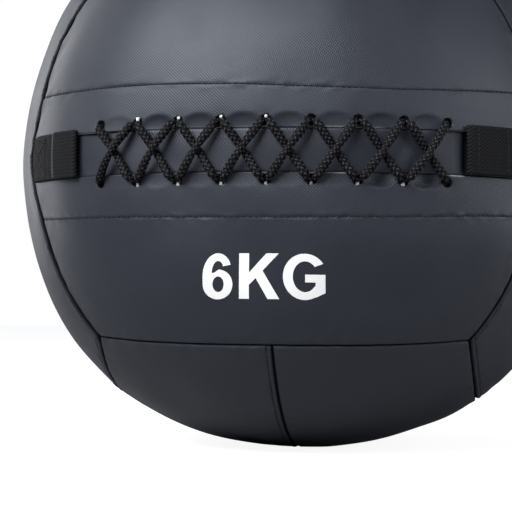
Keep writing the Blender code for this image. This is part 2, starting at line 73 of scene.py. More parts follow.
class Face(Enum):
    """The six faces of the cover, each with the turn that brings the front face to it.

    The allowance of a seam between two faces is turned to the one that comes later here.
    """

    FRONT = ((1, 0, 0), (0, 1, 0), (0, 0, 1))
    BOTTOM = ((0, 0, 1), (1, 0, 0), (0, 1, 0))
    TOP = ((0, 0, 1), (-1, 0, 0), (0, -1, 0))
    LEFT = ((0, 1, 0), (0, 0, 1), (1, 0, 0))
    RIGHT = ((0, -1, 0), (0, 0, -1), (1, 0, 0))
    BACK = ((-1, 0, 0), (0, -1, 0), (0, 0, 1))

    @property
    def turn(self) -> Array:
        """The turn as a matrix."""
        return np.array(self.value, float)


def mix(start: Any, end: Any, share: Any) -> Any:
    """A value between two others."""
    return start + (end - start) * share


def spans(points: Array, axis: int = 0) -> Array:
    """Distances between neighbours along a line or one axis of a grid."""
    return np.linalg.norm(np.diff(points, axis=axis), axis=-1)


def azimuths(directions: Array) -> Array:
    """Angles of directions from the middle of the front face, to the right."""
    return np.arctan2(directions[..., 0], -directions[..., 1])


def bump(distance: Array, width: float) -> Array:
    """A smooth bell of height 1 at no distance."""
    return np.exp(-((distance / width) ** 2))


def ramp(value: Array, start: float, end: float) -> Array:
    """A smooth step from 0 at start to 1 at end."""
    share = np.clip((value - start) / (end - start), 0, 1)
    return share * share * (3 - 2 * share)


def unit(points: Array) -> Array:
    """Directions of points."""
    return points / np.linalg.norm(points, axis=-1, keepdims=True)


def lengths_along(line: Array) -> Array:
    """Length along a line at each of its points."""
    return np.concatenate([[0], np.cumsum(spans(line))])


def line_distance(points: Array, line: Array, block: int = 4000) -> Array:
    """Distance of points from a line of many short steps, looked at a block at a time."""
    nearest = np.empty(len(points), int)
    for start in range(0, len(points), block):
        part = points[start:start + block]
        square = (part ** 2).sum(1)[:, None] + (line ** 2).sum(1)[None] - 2 * part @ line.T
        nearest[start:start + block] = square.argmin(1)
    best = np.full(len(points), np.inf)
    for offset in (-1, 0):
        first = np.clip(nearest + offset, 0, len(line) - 2)
        run = line[first + 1] - line[first]
        share = np.clip(((points - line[first]) * run).sum(1) / (run * run).sum(1), 0, 1)
        gap = np.linalg.norm(points - line[first] - run * share[:, None], axis=1)
        best = np.minimum(best, gap)
    return best


def tube(line: Array, first: Array, second: Array, reach: Any, sides: int) -> Array:
    """Rings of points round a line, at a reach along two directions square to it."""
    turn = np.linspace(0, math.tau, sides, endpoint=False)[None, :, None]
    return line[:, None] + reach * (first[:, None] * np.cos(turn)
                                    + second[:, None] * np.sin(turn))


def waves(points: Array, wavelength: float, seed: int, count: int = 14) -> Array:
    """Smooth unevenness of about unit height, the same for each run.

    Args:
        points: points as rows.
        wavelength: typical length of one wave.
        seed: number that picks the pattern.
        count: how many plane waves are summed.

    Returns:
        One value for each point.
    """
    chance = np.random.default_rng(seed)
    axes = unit(chance.normal(size=(count, 3)))
    rates = math.tau / wavelength * chance.uniform(0.7, 1.5, count)
    phases = chance.uniform(0, math.tau, count)
    total = np.zeros(len(points))
    for axis, rate, phase in zip(axes, rates, phases):
        total += np.sin(points @ axis * rate + phase)
    return total / math.sqrt(count / 2)


@dataclass(frozen=True)
class BallShape:
    """The stuffed ball: a sphere pressed slightly towards a cube, cut into six bowed faces."""

    radius: float = 175 * MM
    squareness: float = 0.069
    mean_fourth: float = 0.6
    seam_bow: float = math.radians(53)
    foot_width: float = 37 * MM
    corner_share: float = 1 / math.sqrt(3)
    slot_drop: float = 4.8 * MM
    seam_pull: float = math.radians(3.4)
    pull_height: float = 21 * MM
    pull_inside: float = math.radians(5.5)
    pull_outside: float = math.radians(11)

    def cover_radius(self, directions: Array) -> Array:
        """Distance from the centre to the cover along unit directions."""
        fourth = (directions ** 4).sum(-1)
        return self.radius * (1 - self.squareness * (fourth - self.mean_fourth))

    def cover_point(self, directions: Array, depth: Any = 0.0) -> Array:
        """Points at a depth under the cover, around the ball's centre."""
        outward = unit(directions)
        reach = self.cover_radius(outward) - depth
        return outward * reach[..., None]

    @property
    def foot_height(self) -> float:
        """Height of the ball's centre above the flat that it rests on."""
        down = float(self.cover_radius(np.array([0.0, 0.0, -1.0])))
        lean = math.asin(self.foot_width / math.sqrt(2) / down)
        side = math.sin(lean) / math.sqrt(2)
        corner = np.array([side, side, -math.cos(lean)])
        return float(self.cover_radius(corner)) * math.cos(lean)

    def side_seam(self, height_share: Any, side: float) -> Array:
        """Directions on a face's left (-1) or right (1) seam at shares of the corner height."""
        height = np.asarray(height_share, float) * self.corner_share
        corner = np.array([self.corner_share, -self.corner_share])
        run = np.array([math.sin(self.seam_bow), -math.cos(self.seam_bow)]) - corner
        square, slope = run @ run, 2 * corner @ run
        rest = corner @ corner - 1 + height ** 2
        reach = (np.sqrt(slope ** 2 - 4 * square * rest) - slope) / (2 * square)
        return np.stack([side * (corner[0] + run[0] * reach), corner[1] + run[1] * reach,
                         height], -1)

    def rim_seam(self, across_share: Any, half: int) -> Array:
        """Directions on a face's lower or upper seam at shares of the way across."""
        seam = self.side_seam(across_share, -1)
        return np.stack([seam[..., 2], seam[..., 0], -half * seam[..., 1]], -1)

    def face_direction(self, azimuth: Any, rise: Any) -> Array:
        """Directions on the front face at angles from its middle and heights above it."""
        azimuth, rise = np.broadcast_arrays(np.asarray(azimuth, float), rise)
        level = np.stack([np.sin(azimuth), -np.cos(azimuth), np.zeros(azimuth.shape)], -1)
        lift = rise / self.cover_radius(level)
        flat = level * np.sqrt(1 - lift ** 2)[..., None]
        flat[..., 2] = lift
        return flat

    def seam_share(self, rise: float) -> float:
        """Share of the corner height at which a side seam passes a height."""
        level = np.array([math.sin(self.seam_bow), -math.cos(self.seam_bow), 0])
        return rise / float(self.cover_radius(level)) / self.corner_share

    def seam_azimuth(self, rise: float) -> float:
        """Angle from the middle of the front face to its side seam, at a height."""
        seam = self.side_seam(self.seam_share(rise), 1)
        return math.atan2(seam[0], -seam[1])

    def pulled(self, directions: Array) -> Array:
        """Directions with the front face's side seams drawn out where the webbing is sewn in."""
        azimuth = azimuths(directions)
        rise = directions[..., 2] * self.radius + self.slot_drop
        past = np.abs(azimuth) - self.seam_bow
        reach = np.where(past > 0, self.pull_outside, self.pull_inside)
        pull = self.seam_pull * bump(rise, self.pull_height) * bump(past, reach)
        turned = azimuth + pull * np.sign(azimuth)
        flat = np.hypot(directions[..., 0], directions[..., 1])
        return np.stack([flat * np.sin(turned), -flat * np.cos(turned), directions[..., 2]], -1)

    def slot_point(self, azimuth: Any, rise: Any, height: Any) -> Array:
        """Points over the opening: angles across, rises from its middle, heights above it."""
        directions = self.face_direction(azimuth, np.asarray(rise) - self.slot_drop)
        return self.cover_point(directions, -np.asarray(height))


@dataclass(frozen=True)
class PanelPatch:
    """One half of a face: u runs from left to right, v from the face's middle to its rim."""

    shape: BallShape
    half: int
    inner_rise: float = 0.0
    probe: float = 0.01

    def inner(self, u: Array) -> Array:
        """Directions on the edge along the middle of the face."""
        reach = self.shape.seam_azimuth(self.inner_rise)
        return self.shape.face_direction(mix(-reach, reach, u), self.inner_rise)

    def side(self, v: Array, side: int) -> Array:
        """Directions on a side seam."""
        return self.shape.side_seam(mix(self.shape.seam_share(self.inner_rise), self.half, v),
                                    side)

    def rim(self, u: Array) -> Array:
        """Directions on the rim seam."""
        return self.shape.rim_seam(mix(-1, 1, u), self.half)

    def direction(self, u: Array, v: Array) -> Array:
        """Directions inside the panel, blended from its four edges."""
        across, deep = np.asarray(u, float)[..., None], np.asarray(v, float)[..., None]
        edges = self.inner(u) * (1 - deep) + self.rim(u) * deep
        edges = edges + self.side(v, -1) * (1 - across) + self.side(v, 1) * across
        zero, one = np.zeros(1), np.ones(1)
        corners = (self.inner(zero) * (1 - across) + self.inner(one) * across) * (1 - deep)
        corners = corners + (self.rim(zero) * (1 - across) + self.rim(one) * across) * deep
        return unit(edges - corners)

    def edge_share(self, length: Array, across_u: bool, end: Array, other: Array) -> Array:
        """Shares of u, or else of v, that lie lengths away from an edge, square to it.

        Args:
            length: distances from the edge.
            across_u: whether the edge is crossed by u.
            end: 0 for the near edge and 1 for the far one.
            other: the other coordinate of each point.

        Returns:
            The shares, measured from the edge.
        """
        inward = np.where(end > 0, -self.probe, self.probe)
        sideways = np.where(other < 1 / 2, self.probe, -self.probe)

        def spot(move: Any, slide: Any) -> Array:
            """Directions moved in from the edge, and along it."""
            pair = (end + move, other + slide)
            return self.direction(*(pair if across_u else pair[::-1]))

        base = spot(0.0, 0.0)
        along = unit(spot(0.0, sideways) - base)
        square = np.linalg.norm(np.cross(spot(inward, 0.0) - base, along), axis=-1)
        return length * self.probe / (square * self.shape.radius)


def link_object(name: str, data: ID) -> Object:
    """Put a new object in the scene."""
    thing = bpy.data.objects.new(name, data)
    bpy.context.scene.collection.objects.link(thing)
    return thing


def make_object(name: str, mesh: Mesh, centre: Vector) -> Object:
    """Link a mesh that was made round the ball's centre, with its place put in its points."""
    mesh.transform(Matrix.Translation(centre))
    mesh.name = name
    return link_object(name, mesh)


def grid_size(points: Array) -> Pair:
    """Mean width and length of a sheet from its grid of points."""
    return float(spans(points, 1).sum(1).mean()), float(spans(points).sum(0).mean())


def grid_mesh(name: str, points: Array, uv: Array | None = None,
              closed: bool = False) -> Mesh:
    """An open sheet, or a tube with capped ends, from a grid of points.

    Args:
        name: the mesh's name.
        points: columns x rows x 3.
        uv: columns x rows x 2, or nothing.
        closed: whether the rows go round in rings; a u that grows round them closes at 1.

    Returns:
        The mesh, with its UV map where one is given.
    """
    columns, rows = points.shape[:2]
    index = np.arange(columns * rows).reshape(columns, rows)
    after = np.roll(index, -1, 1) if closed else index[:, 1:]
    here = index if closed else index[:, :-1]
    faces = np.stack([here[:-1], here[1:], after[1:], after[:-1]], -1).reshape(-1, 4).tolist()
    if closed:
        faces += [index[0].tolist(), index[-1][::-1].tolist()]
    mesh = bpy.data.meshes.new(name)
    mesh.from_pydata(points.reshape(-1, 3).tolist(), [], faces)
    if uv is not None:
        layer = mesh.uv_layers.new(name="cloth")
        corners = np.zeros(len(mesh.loops), int)
        mesh.loops.foreach_get("vertex_index", corners)
        values = uv.reshape(-1, 2)[corners]
        if closed and uv[0, -1, 0] > uv[0, 0, 0]:
            quads = values[:4 * (columns - 1) * rows].reshape(columns - 1, rows, 4, 2)
            quads[:, -1, 2:, 0] += 1
        layer.data.foreach_set("uv", values.astype(np.float32).ravel())
    mesh.shade_smooth()
    return mesh


def turn_outward(mesh: Mesh, closed: bool = False) -> None:
    """Turn faces outward: those of a closed mesh, or of a sheet that wraps the ball."""
    shell = bmesh.new()
    shell.from_mesh(mesh)
    shell.normal_update()
    if closed:
        bmesh.ops.recalc_face_normals(shell, faces=shell.faces[:])
    elif sum(face.normal.dot(face.calc_center_median()) for face in shell.faces) < 0:
        bmesh.ops.reverse_faces(shell, faces=shell.faces[:])
    shell.to_mesh(mesh)
    shell.free()


def pick(piece: Object) -> None:
    """Make a piece the only selected one, and the active one."""
    bpy.ops.object.select_all(action="DESELECT")
    piece.select_set(True)
    bpy.context.view_layer.objects.active = piece


def apply_modifiers(piece: Object) -> None:
    """Apply all modifiers of a piece."""
    pick(piece)
    for modifier in list(piece.modifiers):
        bpy.ops.object.modifier_apply(modifier=modifier.name)
    piece.select_set(False)


def cut_away(piece: Object, cutter: Object) -> None:
    """Add a cut by another piece, without applying it."""
    cut = piece.modifiers.new("Cut", "BOOLEAN")
    cut.operation, cut.solver, cut.object = "DIFFERENCE", "EXACT", cutter


def thicken(piece: Object, wall: float, offset: float = -1) -> None:
    """Give a sheet its wall, inward from its surface unless an offset says otherwise."""
    modifier = piece.modifiers.new("Wall", "SOLIDIFY")
    modifier.thickness = wall
    modifier.offset = offset
    apply_modifiers(piece)


def finish_piece(piece: Object, material: Material,
                 nodes: Sequence[str] = ()) -> None:
    """Dress a finished piece, hang it from the root and hide the CAD nodes that it replaces."""
    piece.data.materials.clear()
    piece.data.materials.append(material)
    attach(piece, "root")
    if nodes:
        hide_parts(*nodes)
    LOG.info("%s: %d faces", piece.name, len(piece.data.polygons))


@dataclass(frozen=True)
class Opening:
    """The laced slot across the front face and its two rows of holes.

    Depths of dips, pale stretches of the free edges (start, end, share), painted as the backing
    and as a highlight of the lit cut edge, and stitch lines are given for the lower (-1) and the
    upper (1) half, in millimetres and degrees from the middle.
    """

    shape: BallShape
    height: float = 23.5 * MM
    hole_count: int = 9
    hole_pitch: float = math.radians(8)
    hole_from_edge: float = 3.8 * MM
    hole_radius: float = 2.7 * MM
    dip_width: float = 0.84
    dip_reach: float = 7.6 * MM
    dip_round: float = 0.6
    dimple_depth: float = 0.45 * MM
    dimple_reach: float = 4.6 * MM
    dips: ClassVar[dict[int, tuple[float, ...]]] = {
        -1: (0.3, 0.7, 0.6, 0.5, 0.4, 0.5, 3.0, 2.9),
        1: (0.9, 2.7, 2.4, 2.4, 2.2, 1.9, 2.6, 2.1)}
    # Stretches of each free edge painted pale: the backing at the cut, and a painted highlight of
    # the lit cut edge.
    bare_edge_highlights: ClassVar[dict[int, tuple[Triple, ...]]] = {
        -1: ((10.6, 14.1, 0.9), (18.3, 20.3, 0.4), (32.0, 35.2, 1.0)),
        1: ((-6.2, -2.5, 0.4), (9.6, 13.8, 0.8), (17.9, 20.6, 0.6))}
    stitch_lines: ClassVar[dict[int, tuple[tuple[float, ...], tuple[float, ...]]]] = {
        -1: ((-60, -33, -12, 6, 24, 47, 60), (-37.4, -38.2, -39, -38.8, -38.2, -36, -35.5)),
        1: ((-60, -33, -22, -10, 0, 13, 23, 46, 60),
            (31.4, 31.2, 31.1, 29.8, 29, 27.6, 27.4, 29.9, 31))}

    @property
    def half_height(self) -> float:
        """Half of the slot's height."""
        return self.height / 2

    @property
    def hole_rise(self) -> float:
        """Height of a hole row over the slot's middle."""
        return self.half_height + self.hole_from_edge

    def edge_rise(self, half: int) -> float:
        """Height of a free edge over the ball's centre."""
        return half * self.half_height - self.shape.slot_drop

    def hole_azimuths(self) -> Array:
        """Angles of the holes from left to right."""
        last = self.hole_count - 1
        return np.arange(self.hole_count) * self.hole_pitch - self.hole_pitch * last / 2

    def hole_centres(self, half: int) -> Array:
        """Centres of a row of holes on the cover."""
        return self.shape.slot_point(self.hole_azimuths(), half * self.hole_rise, 0.0)

    def stitch_rise(self, azimuth: Array, half: int) -> Array:
        """Height over the ball's centre of the long stitch line that holds a facing."""
        angles, heights = self.stitch_lines[half]
        return np.interp(np.degrees(azimuth), angles, heights) * MM

    def dip(self, azimuth: Array, edge_gap: Array, half: int) -> Array:
        """How far a free edge sinks between its holes, by angles and distances from it."""
        total = np.zeros(azimuth.shape)
        for size, hole in zip(self.dips[half], self.hole_azimuths()):
            across = (azimuth - hole - self.hole_pitch / 2) / (self.hole_pitch / 2)
            left = 1 - (across / self.dip_width) ** 2 - (edge_gap / self.dip_reach) ** 2
            total += size * MM * np.clip(left, 0, 1) ** self.dip_round
        return total

    def dimples(self, points: Array, half: int) -> Array:
        """How far the cover is drawn in round its holes."""
        total = np.zeros(points.shape[:-1])
        for centre in self.hole_centres(half):
            gap = np.linalg.norm(points - centre, axis=-1)
            total += self.dimple_depth * bump(gap, self.dimple_reach)
        return total


@dataclass
class CoverPanel:
    """One sewn panel: rolled seams, a topstitched lap, puckers and a seam allowance."""

    shape: BallShape
    opening: Opening
    name: str
    face: Face
    half: int
    seed: int
    spacing: float = 2.0 * MM
    wall: float = 1.1 * MM
    seam_roll: float = 2.0 * MM
    deep_roll: float = 3.4 * MM
    lap: float = 3.1 * MM
    allowance_depth: float = 10.1 * MM
    pucker_length: float = 11 * MM
    pucker_depth: float = 0.16 * MM
    pucker_reach: float = 9 * MM
    sag_length: float = 60 * MM
    sag_depth: float = 0.35 * MM
    sag_reach: float = 26 * MM
    rise_from_seam: float = 2 * MM
    lap_swell: float = 0.45 * MM
    stitch_pull: Pair = (0.42, 0.16)
    stitch_width: float = 0.5 * MM
    line_width: float = 0.7 * MM
    line_reach: float = 3.4 * MM
    # The next two set the width of the painted shade in the seams.
    seam_shade_inset: float = 0.9 * MM
    seam_shade_shares: ClassVar[Triple] = (0.85, 1.05, 0.62)
    # Width of the pale strip painted on the free edge: backing and painted highlight.
    bare_highlight_width: float = 0.34 * MM
    near_edge: tuple[float, ...] = (0.15, 0.3, 0.55, 0.9, 1.4, 2.0, 2.6, 3.1, 3.6, 4.3, 5.3)
    near_slot: tuple[float, ...] = (
        0, 0.5, 1.2, 2.0, 2.9, 3.8, 4.7, 5.6, 6.5, 7.4, 8.6, 10, 12, 14, 16, 17.6, 18.4,
        *(18.85 + 0.45 * step for step in range(14)), 25.6, 27)

    def __post_init__(self) -> None:
        """Work out the panel's own patch and seams."""
        self.free = self.face is Face.FRONT
        self.patch = PanelPatch(self.shape, self.half,
                                self.opening.edge_rise(self.half) if self.free else 0.0)
        fine = np.linspace(0, 1, 400)
        sides = {"inner": self.patch.inner(fine), "rim": self.patch.rim(fine),
                 "start": self.patch.side(fine, -1), "end": self.patch.side(fine, 1)}
        self.seams = {key: line @ self.face.turn.T for key, line in sides.items()}
        self.rolls = {key: self.deep_roll if {self.face, self.face_beyond(key)}
                      == {Face.FRONT, Face.LEFT} else self.seam_roll for key in self.seams}

    @property
    def sewn(self) -> list[str]:
        """The panel's edges that are sewn to other panels."""
        return [key for key in self.seams if not (self.free and key == "inner")]

    def gaps(self, directions: Array) -> dict[str, Array]:
        """Distance of each direction from each of the panel's edges."""
        return {key: line_distance(directions, line) * self.shape.radius
                for key, line in self.seams.items()}

    def face_beyond(self, key: str) -> Face:
        """The face on the other side of one of the panel's seams."""
        middle = self.seams[key][len(self.seams[key]) // 2]
        inside = self.patch.direction(np.array([0.5]), np.array([0.5]))[0] @ self.face.turn.T
        beyond = middle + (middle - inside)
        outward = {face: beyond @ (face.turn @ np.array([0.0, -1.0, 0.0])) for face in Face}
        return max(outward, key=outward.__getitem__)

    def topstitched(self) -> list[str]:
        """The seams whose allowance is turned to this panel and stitched down."""
        kept = [] if self.free or self.half == Half.UPPER.value else ["inner"]
        earlier = list(Face)[:list(Face).index(self.face)]
        return kept + [key for key in ("rim", "start", "end")
                       if self.face_beyond(key) in earlier and not self.plain_seam(key)]

    def plain_seam(self, key: str) -> bool:
        """Whether a seam is the fine one under the front face, which has no topstitch."""
        return {self.face, self.face_beyond(key)} == {Face.FRONT, Face.BOTTOM}

    def stations(self, near: Sequence[float], length: float) -> tuple[Array, Array, Array]:
        """Lines of the grid: kind (-1 near, 0 between, 1 far), length and share.

        Args:
            near: distances of the first lines from the near edge, in millimetres.
            length: rough distance between the two edges.

        Returns:
            Three arrays, one value for each line.
        """
        far = self.near_edge[::-1]
        cells = max(4, round((length - (near[-1] + far[0]) * MM) / self.spacing))
        kind = [-1] * len(near) + [0] * (cells - 1) + [1] * len(far)
        lengths = [gap * MM for gap in near] + [0.0] * (cells - 1) + [gap * MM for gap in far]
        shares = [0.0] * len(near) + [k / cells for k in range(1, cells)] + [1.0] * len(far)
        return np.array(kind), np.array(lengths), np.array(shares)

    def shares(self, stations: tuple[Array, Array, Array], near: float, across_u: bool,
               other: Array) -> Array:
        """Shares of u, or else of v, of grid lines where they cross the other coordinate."""
        kind, length, share = stations
        start = self.patch.edge_share(np.where(kind < 0, length, near), across_u, 0.0, other)
        end = 1 - self.patch.edge_share(np.where(kind > 0, length, self.near_edge[-1] * MM),
                                        across_u, 1.0, other)
        return np.where(kind < 0, start, np.where(kind > 0, end, mix(start, end, share)))

    def directions(self) -> Array:
        """Directions of the panel's grid points, columns x rows x 3."""
        first = self.near_slot if self.free else self.near_edge
        width = 2 * self.patch.shape.seam_azimuth(self.patch.inner_rise) * self.shape.radius
        columns = [part[:, None] for part in self.stations(self.near_edge, width)]
        rows = [part[None] for part in self.stations(first, 0.56 * self.shape.radius)]
        near_u, near_v = self.near_edge[-1] * MM, first[-1] * MM
        v = self.shares(rows, near_v, False, np.broadcast_to(columns[2], (
            columns[2].shape[0], rows[2].shape[1])))
        u = self.shares(columns, near_u, True, v)
        v = self.shares(rows, near_v, False, u)
        return self.patch.direction(u, v) @ self.face.turn.T

    def relief(self, directions: Array) -> Array:
        """Depth of the panel's outer surface under the plain cover, along directions."""
        gaps = self.gaps(directions)
        gap = np.min([gaps[key] for key in self.sewn], axis=0)
        depth = np.zeros(len(directions))
        for key in self.sewn:
            roll = self.rolls[key]
            inward = np.clip(roll - gaps[key], 0, roll)
            depth = np.maximum(depth, roll - np.sqrt(roll ** 2 - inward ** 2))
        puckers = waves(directions * self.shape.radius, self.pucker_length, self.seed)
        depth += (self.pucker_depth * puckers * bump(gap, self.pucker_reach)
                  * ramp(gap, 0, self.rise_from_seam))
        sag = waves(directions * self.shape.radius, self.sag_length, self.seed + 50)
        depth += self.sag_depth * sag * ramp(gap, self.rise_from_seam, self.sag_reach)
        for key in self.topstitched():
            lap = gaps[key]
            depth -= self.lap_swell * np.sin(np.clip(lap / self.lap, 0, 1) * math.pi)
            tight = self.stitch_pull[0] + self.stitch_pull[1] * puckers
            depth += tight * MM * bump(lap - self.lap, self.stitch_width)
        if self.free:
            depth += self.slot_relief(directions, gaps["inner"])
        return depth

    def slot_relief(self, directions: Array, edge_gap: Array) -> Array:
        """Depth that the opening, its holes and the long stitch line add."""
        azimuth = azimuths(directions)
        points = self.shape.cover_point(directions)
        depth = self.opening.dip(azimuth, edge_gap, self.half)
        depth += self.opening.dimples(points, self.half)
        line_gap = self.line_gap(directions)
        ticks = waves(points, 5.5 * MM, self.seed + 90)
        depth += (0.24 + 0.08 * ticks) * MM * bump(line_gap, self.line_width)
        return depth + 0.12 * MM * ticks * bump(line_gap, self.line_reach)

    def crease(self, directions: Array) -> Array:
        """Painted shade: how deep in a seam or a stitched line each direction lies, from 0 to 1.
        """
        gaps = self.gaps(directions)
        total = np.zeros(len(directions))
        for key in self.sewn:
            roll = self.rolls[key]
            share = self.seam_shade_shares[2 if self.plain_seam(key) else roll > self.seam_roll]
            total = np.maximum(total, bump(gaps[key], (roll - self.seam_shade_inset) * share))
            if key in self.topstitched():
                total = np.maximum(total, 0.75 * bump(gaps[key] - self.lap, 0.45 * MM))
        if self.free:
            total = np.maximum(total, 0.8 * bump(self.line_gap(directions), 0.42 * MM))
        return total

    def bare_edge(self, directions: Array) -> Array:
        """How much pale colour is painted on the free edge, from 0 to 1: the backing showing at
        its cut, together with a painted highlight of the lit cut edge.
        """
        total = np.zeros(len(directions))
        if self.free:
            azimuth = np.degrees(azimuths(directions))
            gap = self.gaps(directions)["inner"]
            for start, end, share in self.opening.bare_edge_highlights[self.half]:
                inside = ramp(azimuth, start, start + 0.5) * (1 - ramp(azimuth, end - 0.5, end))
                total += share * inside * bump(gap, self.bare_highlight_width)
        return total

    def line_gap(self, directions: Array) -> Array:
        """Height of directions over the long stitch line."""
        azimuth = azimuths(directions)
        level = self.shape.face_direction(azimuth, 0.0)
        rise = directions[:, 2] * self.shape.cover_radius(level)
        return rise - self.opening.stitch_rise(azimuth, self.half)

    def surface(self, directions: Array) -> Array:
        """Points of the panel's outer surface, around the ball's centre."""
        flat = directions.reshape(-1, 3)
        points = self.shape.cover_point(self.shape.pulled(flat), self.relief(flat))
        points[:, 2] = np.maximum(points[:, 2], -self.shape.foot_height)
        return points.reshape(directions.shape)

    def build(self, centre: Vector) -> Object:
        """Make the panel with its seam allowance and wall."""
        directions = self.directions()
        points = self.surface(directions)
        uv = np.zeros((*points.shape[:2], 2))
        uv[1:, :, 0] = np.cumsum(spans(points), 0)
        uv[:, 1:, 1] = np.cumsum(spans(points, 1), 1)
        uv[..., 0] -= uv[-1:, :, 0] / 2
        mesh = grid_mesh(self.name, points, uv * 10)
        # Painted shade in the seams and along stitched lines, kept as a mask for the material.
        for word, values in (("crease", self.crease(directions.reshape(-1, 3))),
                             # The pale free edge, partly the backing and partly a painted
                             # highlight, kept as a mask.
                             ("bare_edge", self.bare_edge(directions.reshape(-1, 3)))):
            layer = mesh.attributes.new(word, "FLOAT", "POINT")
            layer.data.foreach_set("value", values.astype(np.float32))
        turn_outward(mesh)
        self.hang_allowance(mesh)
        piece = make_object(self.name, mesh, centre)
        thicken(piece, self.wall)
        return piece

    def hang_allowance(self, mesh: Mesh) -> None:
        """Turn the sewn edges in, down to the depth of the seam allowance."""
        shell = bmesh.new()
        shell.from_mesh(mesh)
        rim = [edge for edge in shell.edges if edge.is_boundary]
        if self.free:
            level = self.opening.edge_rise(self.half)
            rim = [edge for edge in rim
                   if any(abs(vertex.co.z - level) > 0.2 * MM for vertex in edge.verts)]
        for part in bmesh.ops.extrude_edge_only(shell, edges=rim)["geom"]:
            if isinstance(part, bmesh.types.BMVert):
                outward = self.shape.cover_point(np.array(part.co), self.allowance_depth)
                part.co = Vector(outward)
        shell.to_mesh(mesh)
        shell.free()

    def cut_size(self) -> Triple:
        """Width, length and area of the flat cut, with its seam allowances."""
        directions = self.directions()
        points = self.shape.cover_point(directions)
        across, deep = spans(points), spans(points, 1)
        cells = np.linalg.norm(np.cross(points[1:, :-1] - points[:-1, :-1],
                                        points[:-1, 1:] - points[:-1, :-1]), axis=-1)
        edges = across[:, -1].sum() + deep[0].sum() + deep[-1].sum()
        edges += 0 if self.free else across[:, 0].sum()
        length = across.sum(0).max() + 2 * self.allowance_depth
        width = deep.sum(1).max() + (1 if self.free else 2) * self.allowance_depth
        return width, length, cells.sum() + edges * self.allowance_depth


def punch(piece: Object, spots: Array, centre: Vector, width: float,
          height: float, tab: float = 0.0, sides: int = 44, reach: float = 12 * MM,
          stub: float = 0.16) -> None:
    """Cut a row of oval holes through a piece, square to the ball.

    Args:
        piece: the piece to cut.
        spots: the holes' centres, around the ball's centre.
        centre: the ball's centre.
        width: each hole's size across.
        height: each hole's size up.
        tab: half the width of a tab left standing in each hole: above 0 it hangs from the
            upper rim, below 0 it stands on the lower one.
        sides: how many sides each cutter has.
        reach: each cutter's length.
        stub: how near a tab comes to the middle of its hole, as a share of the way.
    """
    cutters = []
    for spot in spots:
        bpy.ops.mesh.primitive_cylinder_add(vertices=sides, radius=0.5, depth=reach)
        cutter = bpy.context.object
        for vertex in cutter.data.vertices:
            if abs(vertex.co.x) * width < abs(tab) and vertex.co.y * tab > 0:
                vertex.co.y *= stub
        turn = Vector(spot).to_track_quat("Z", "Y").to_matrix().to_4x4()
        cutter.data.transform(Matrix.Translation(Vector(spot) + centre) @ turn
                              @ Matrix.Diagonal((width, height, 1, 1)))
        cutters.append(cutter)
    pick(cutters[0])
    for cutter in cutters:
        cutter.select_set(True)
    bpy.ops.object.join()
    cut_away(piece, cutters[0])
    apply_modifiers(piece)
    bpy.data.objects.remove(cutters[0], do_unlink=True)


@dataclass
class FrontPanel(CoverPanel):
    """A front panel: its free edge lines the opening and is punched for the lace."""

    def build(self, centre: Vector) -> Object:
        """Make the panel and punch its holes."""
        piece = super().build(centre)
        size = 2 * self.opening.hole_radius
        punch(piece, self.opening.hole_centres(self.half), centre, size, size)
        return piece


@dataclass
class FacingStrip:
    """The pale strip sewn behind a free edge: a little of it shows in the holes."""

    panel: FrontPanel
    name: str
    peeks: tuple[float, ...]
    wall: float = 0.8 * MM
    depth: float = 1.4 * MM
    height: float = 26 * MM
    hole_width: float = 8.6 * MM
    hole_height: float = 7.3 * MM
    hole_shift: float = 0.25 * MM
    hidden_hole: float = 7.4 * MM
    peek_shift: float = 1.7 * MM
    peek_lift: float = 1.7 * MM
    peek_size: float = 1.5 * MM
    tab_half: float = 1.1 * MM
    flat: Pair = (0.0, 0.0)

    def build(self, centre: Vector) -> Object:
        """Make the strip, raised under the outer side of each hole, and punch it."""
        opening, shape, half = self.panel.opening, self.panel.shape, self.panel.half
        directions = self.panel.directions()
        inset = len(self.panel.near_edge)
        rise = directions[len(directions) // 2, :, 2] * shape.radius
        kept = np.abs(rise - opening.edge_rise(half)) < self.height
        directions = directions[inset:-inset, kept]
        flat = directions.reshape(-1, 3)
        gap = line_distance(flat, self.panel.seams["inner"]) * shape.radius
        depth = self.depth + opening.dip(azimuths(flat), gap, half)
        points = shape.cover_point(flat)
        depth += opening.dimples(points, half)
        for spot, peek in zip(self.hole_spots(self.peek_shift), self.peeks):
            gap = np.linalg.norm(points - spot, axis=1)
            depth -= peek * self.peek_lift * bump(gap, self.peek_size)
        sheet = shape.cover_point(shape.pulled(flat), depth).reshape(directions.shape)
        self.flat = grid_size(sheet)
        mesh = grid_mesh(self.name, sheet)
        turn_outward(mesh)
        piece = make_object(self.name, mesh, centre)
        thicken(piece, self.wall)
        shown = np.array(self.peeks) > 0
        punch(piece, self.hole_spots(self.hole_shift)[shown], centre, self.hole_width,
              self.hole_height, half * self.tab_half)
        punch(piece, self.hole_spots(0.0)[~shown], centre, self.hidden_hole, self.hidden_hole)
        return piece

    def hole_spots(self, shift: float) -> Array:
        """Points on the cover, shifted outward from the middle of each hole."""
        opening, half = self.panel.opening, self.panel.half
        return self.panel.shape.slot_point(opening.hole_azimuths(),
                                           half * (opening.hole_rise + shift), 0.0)


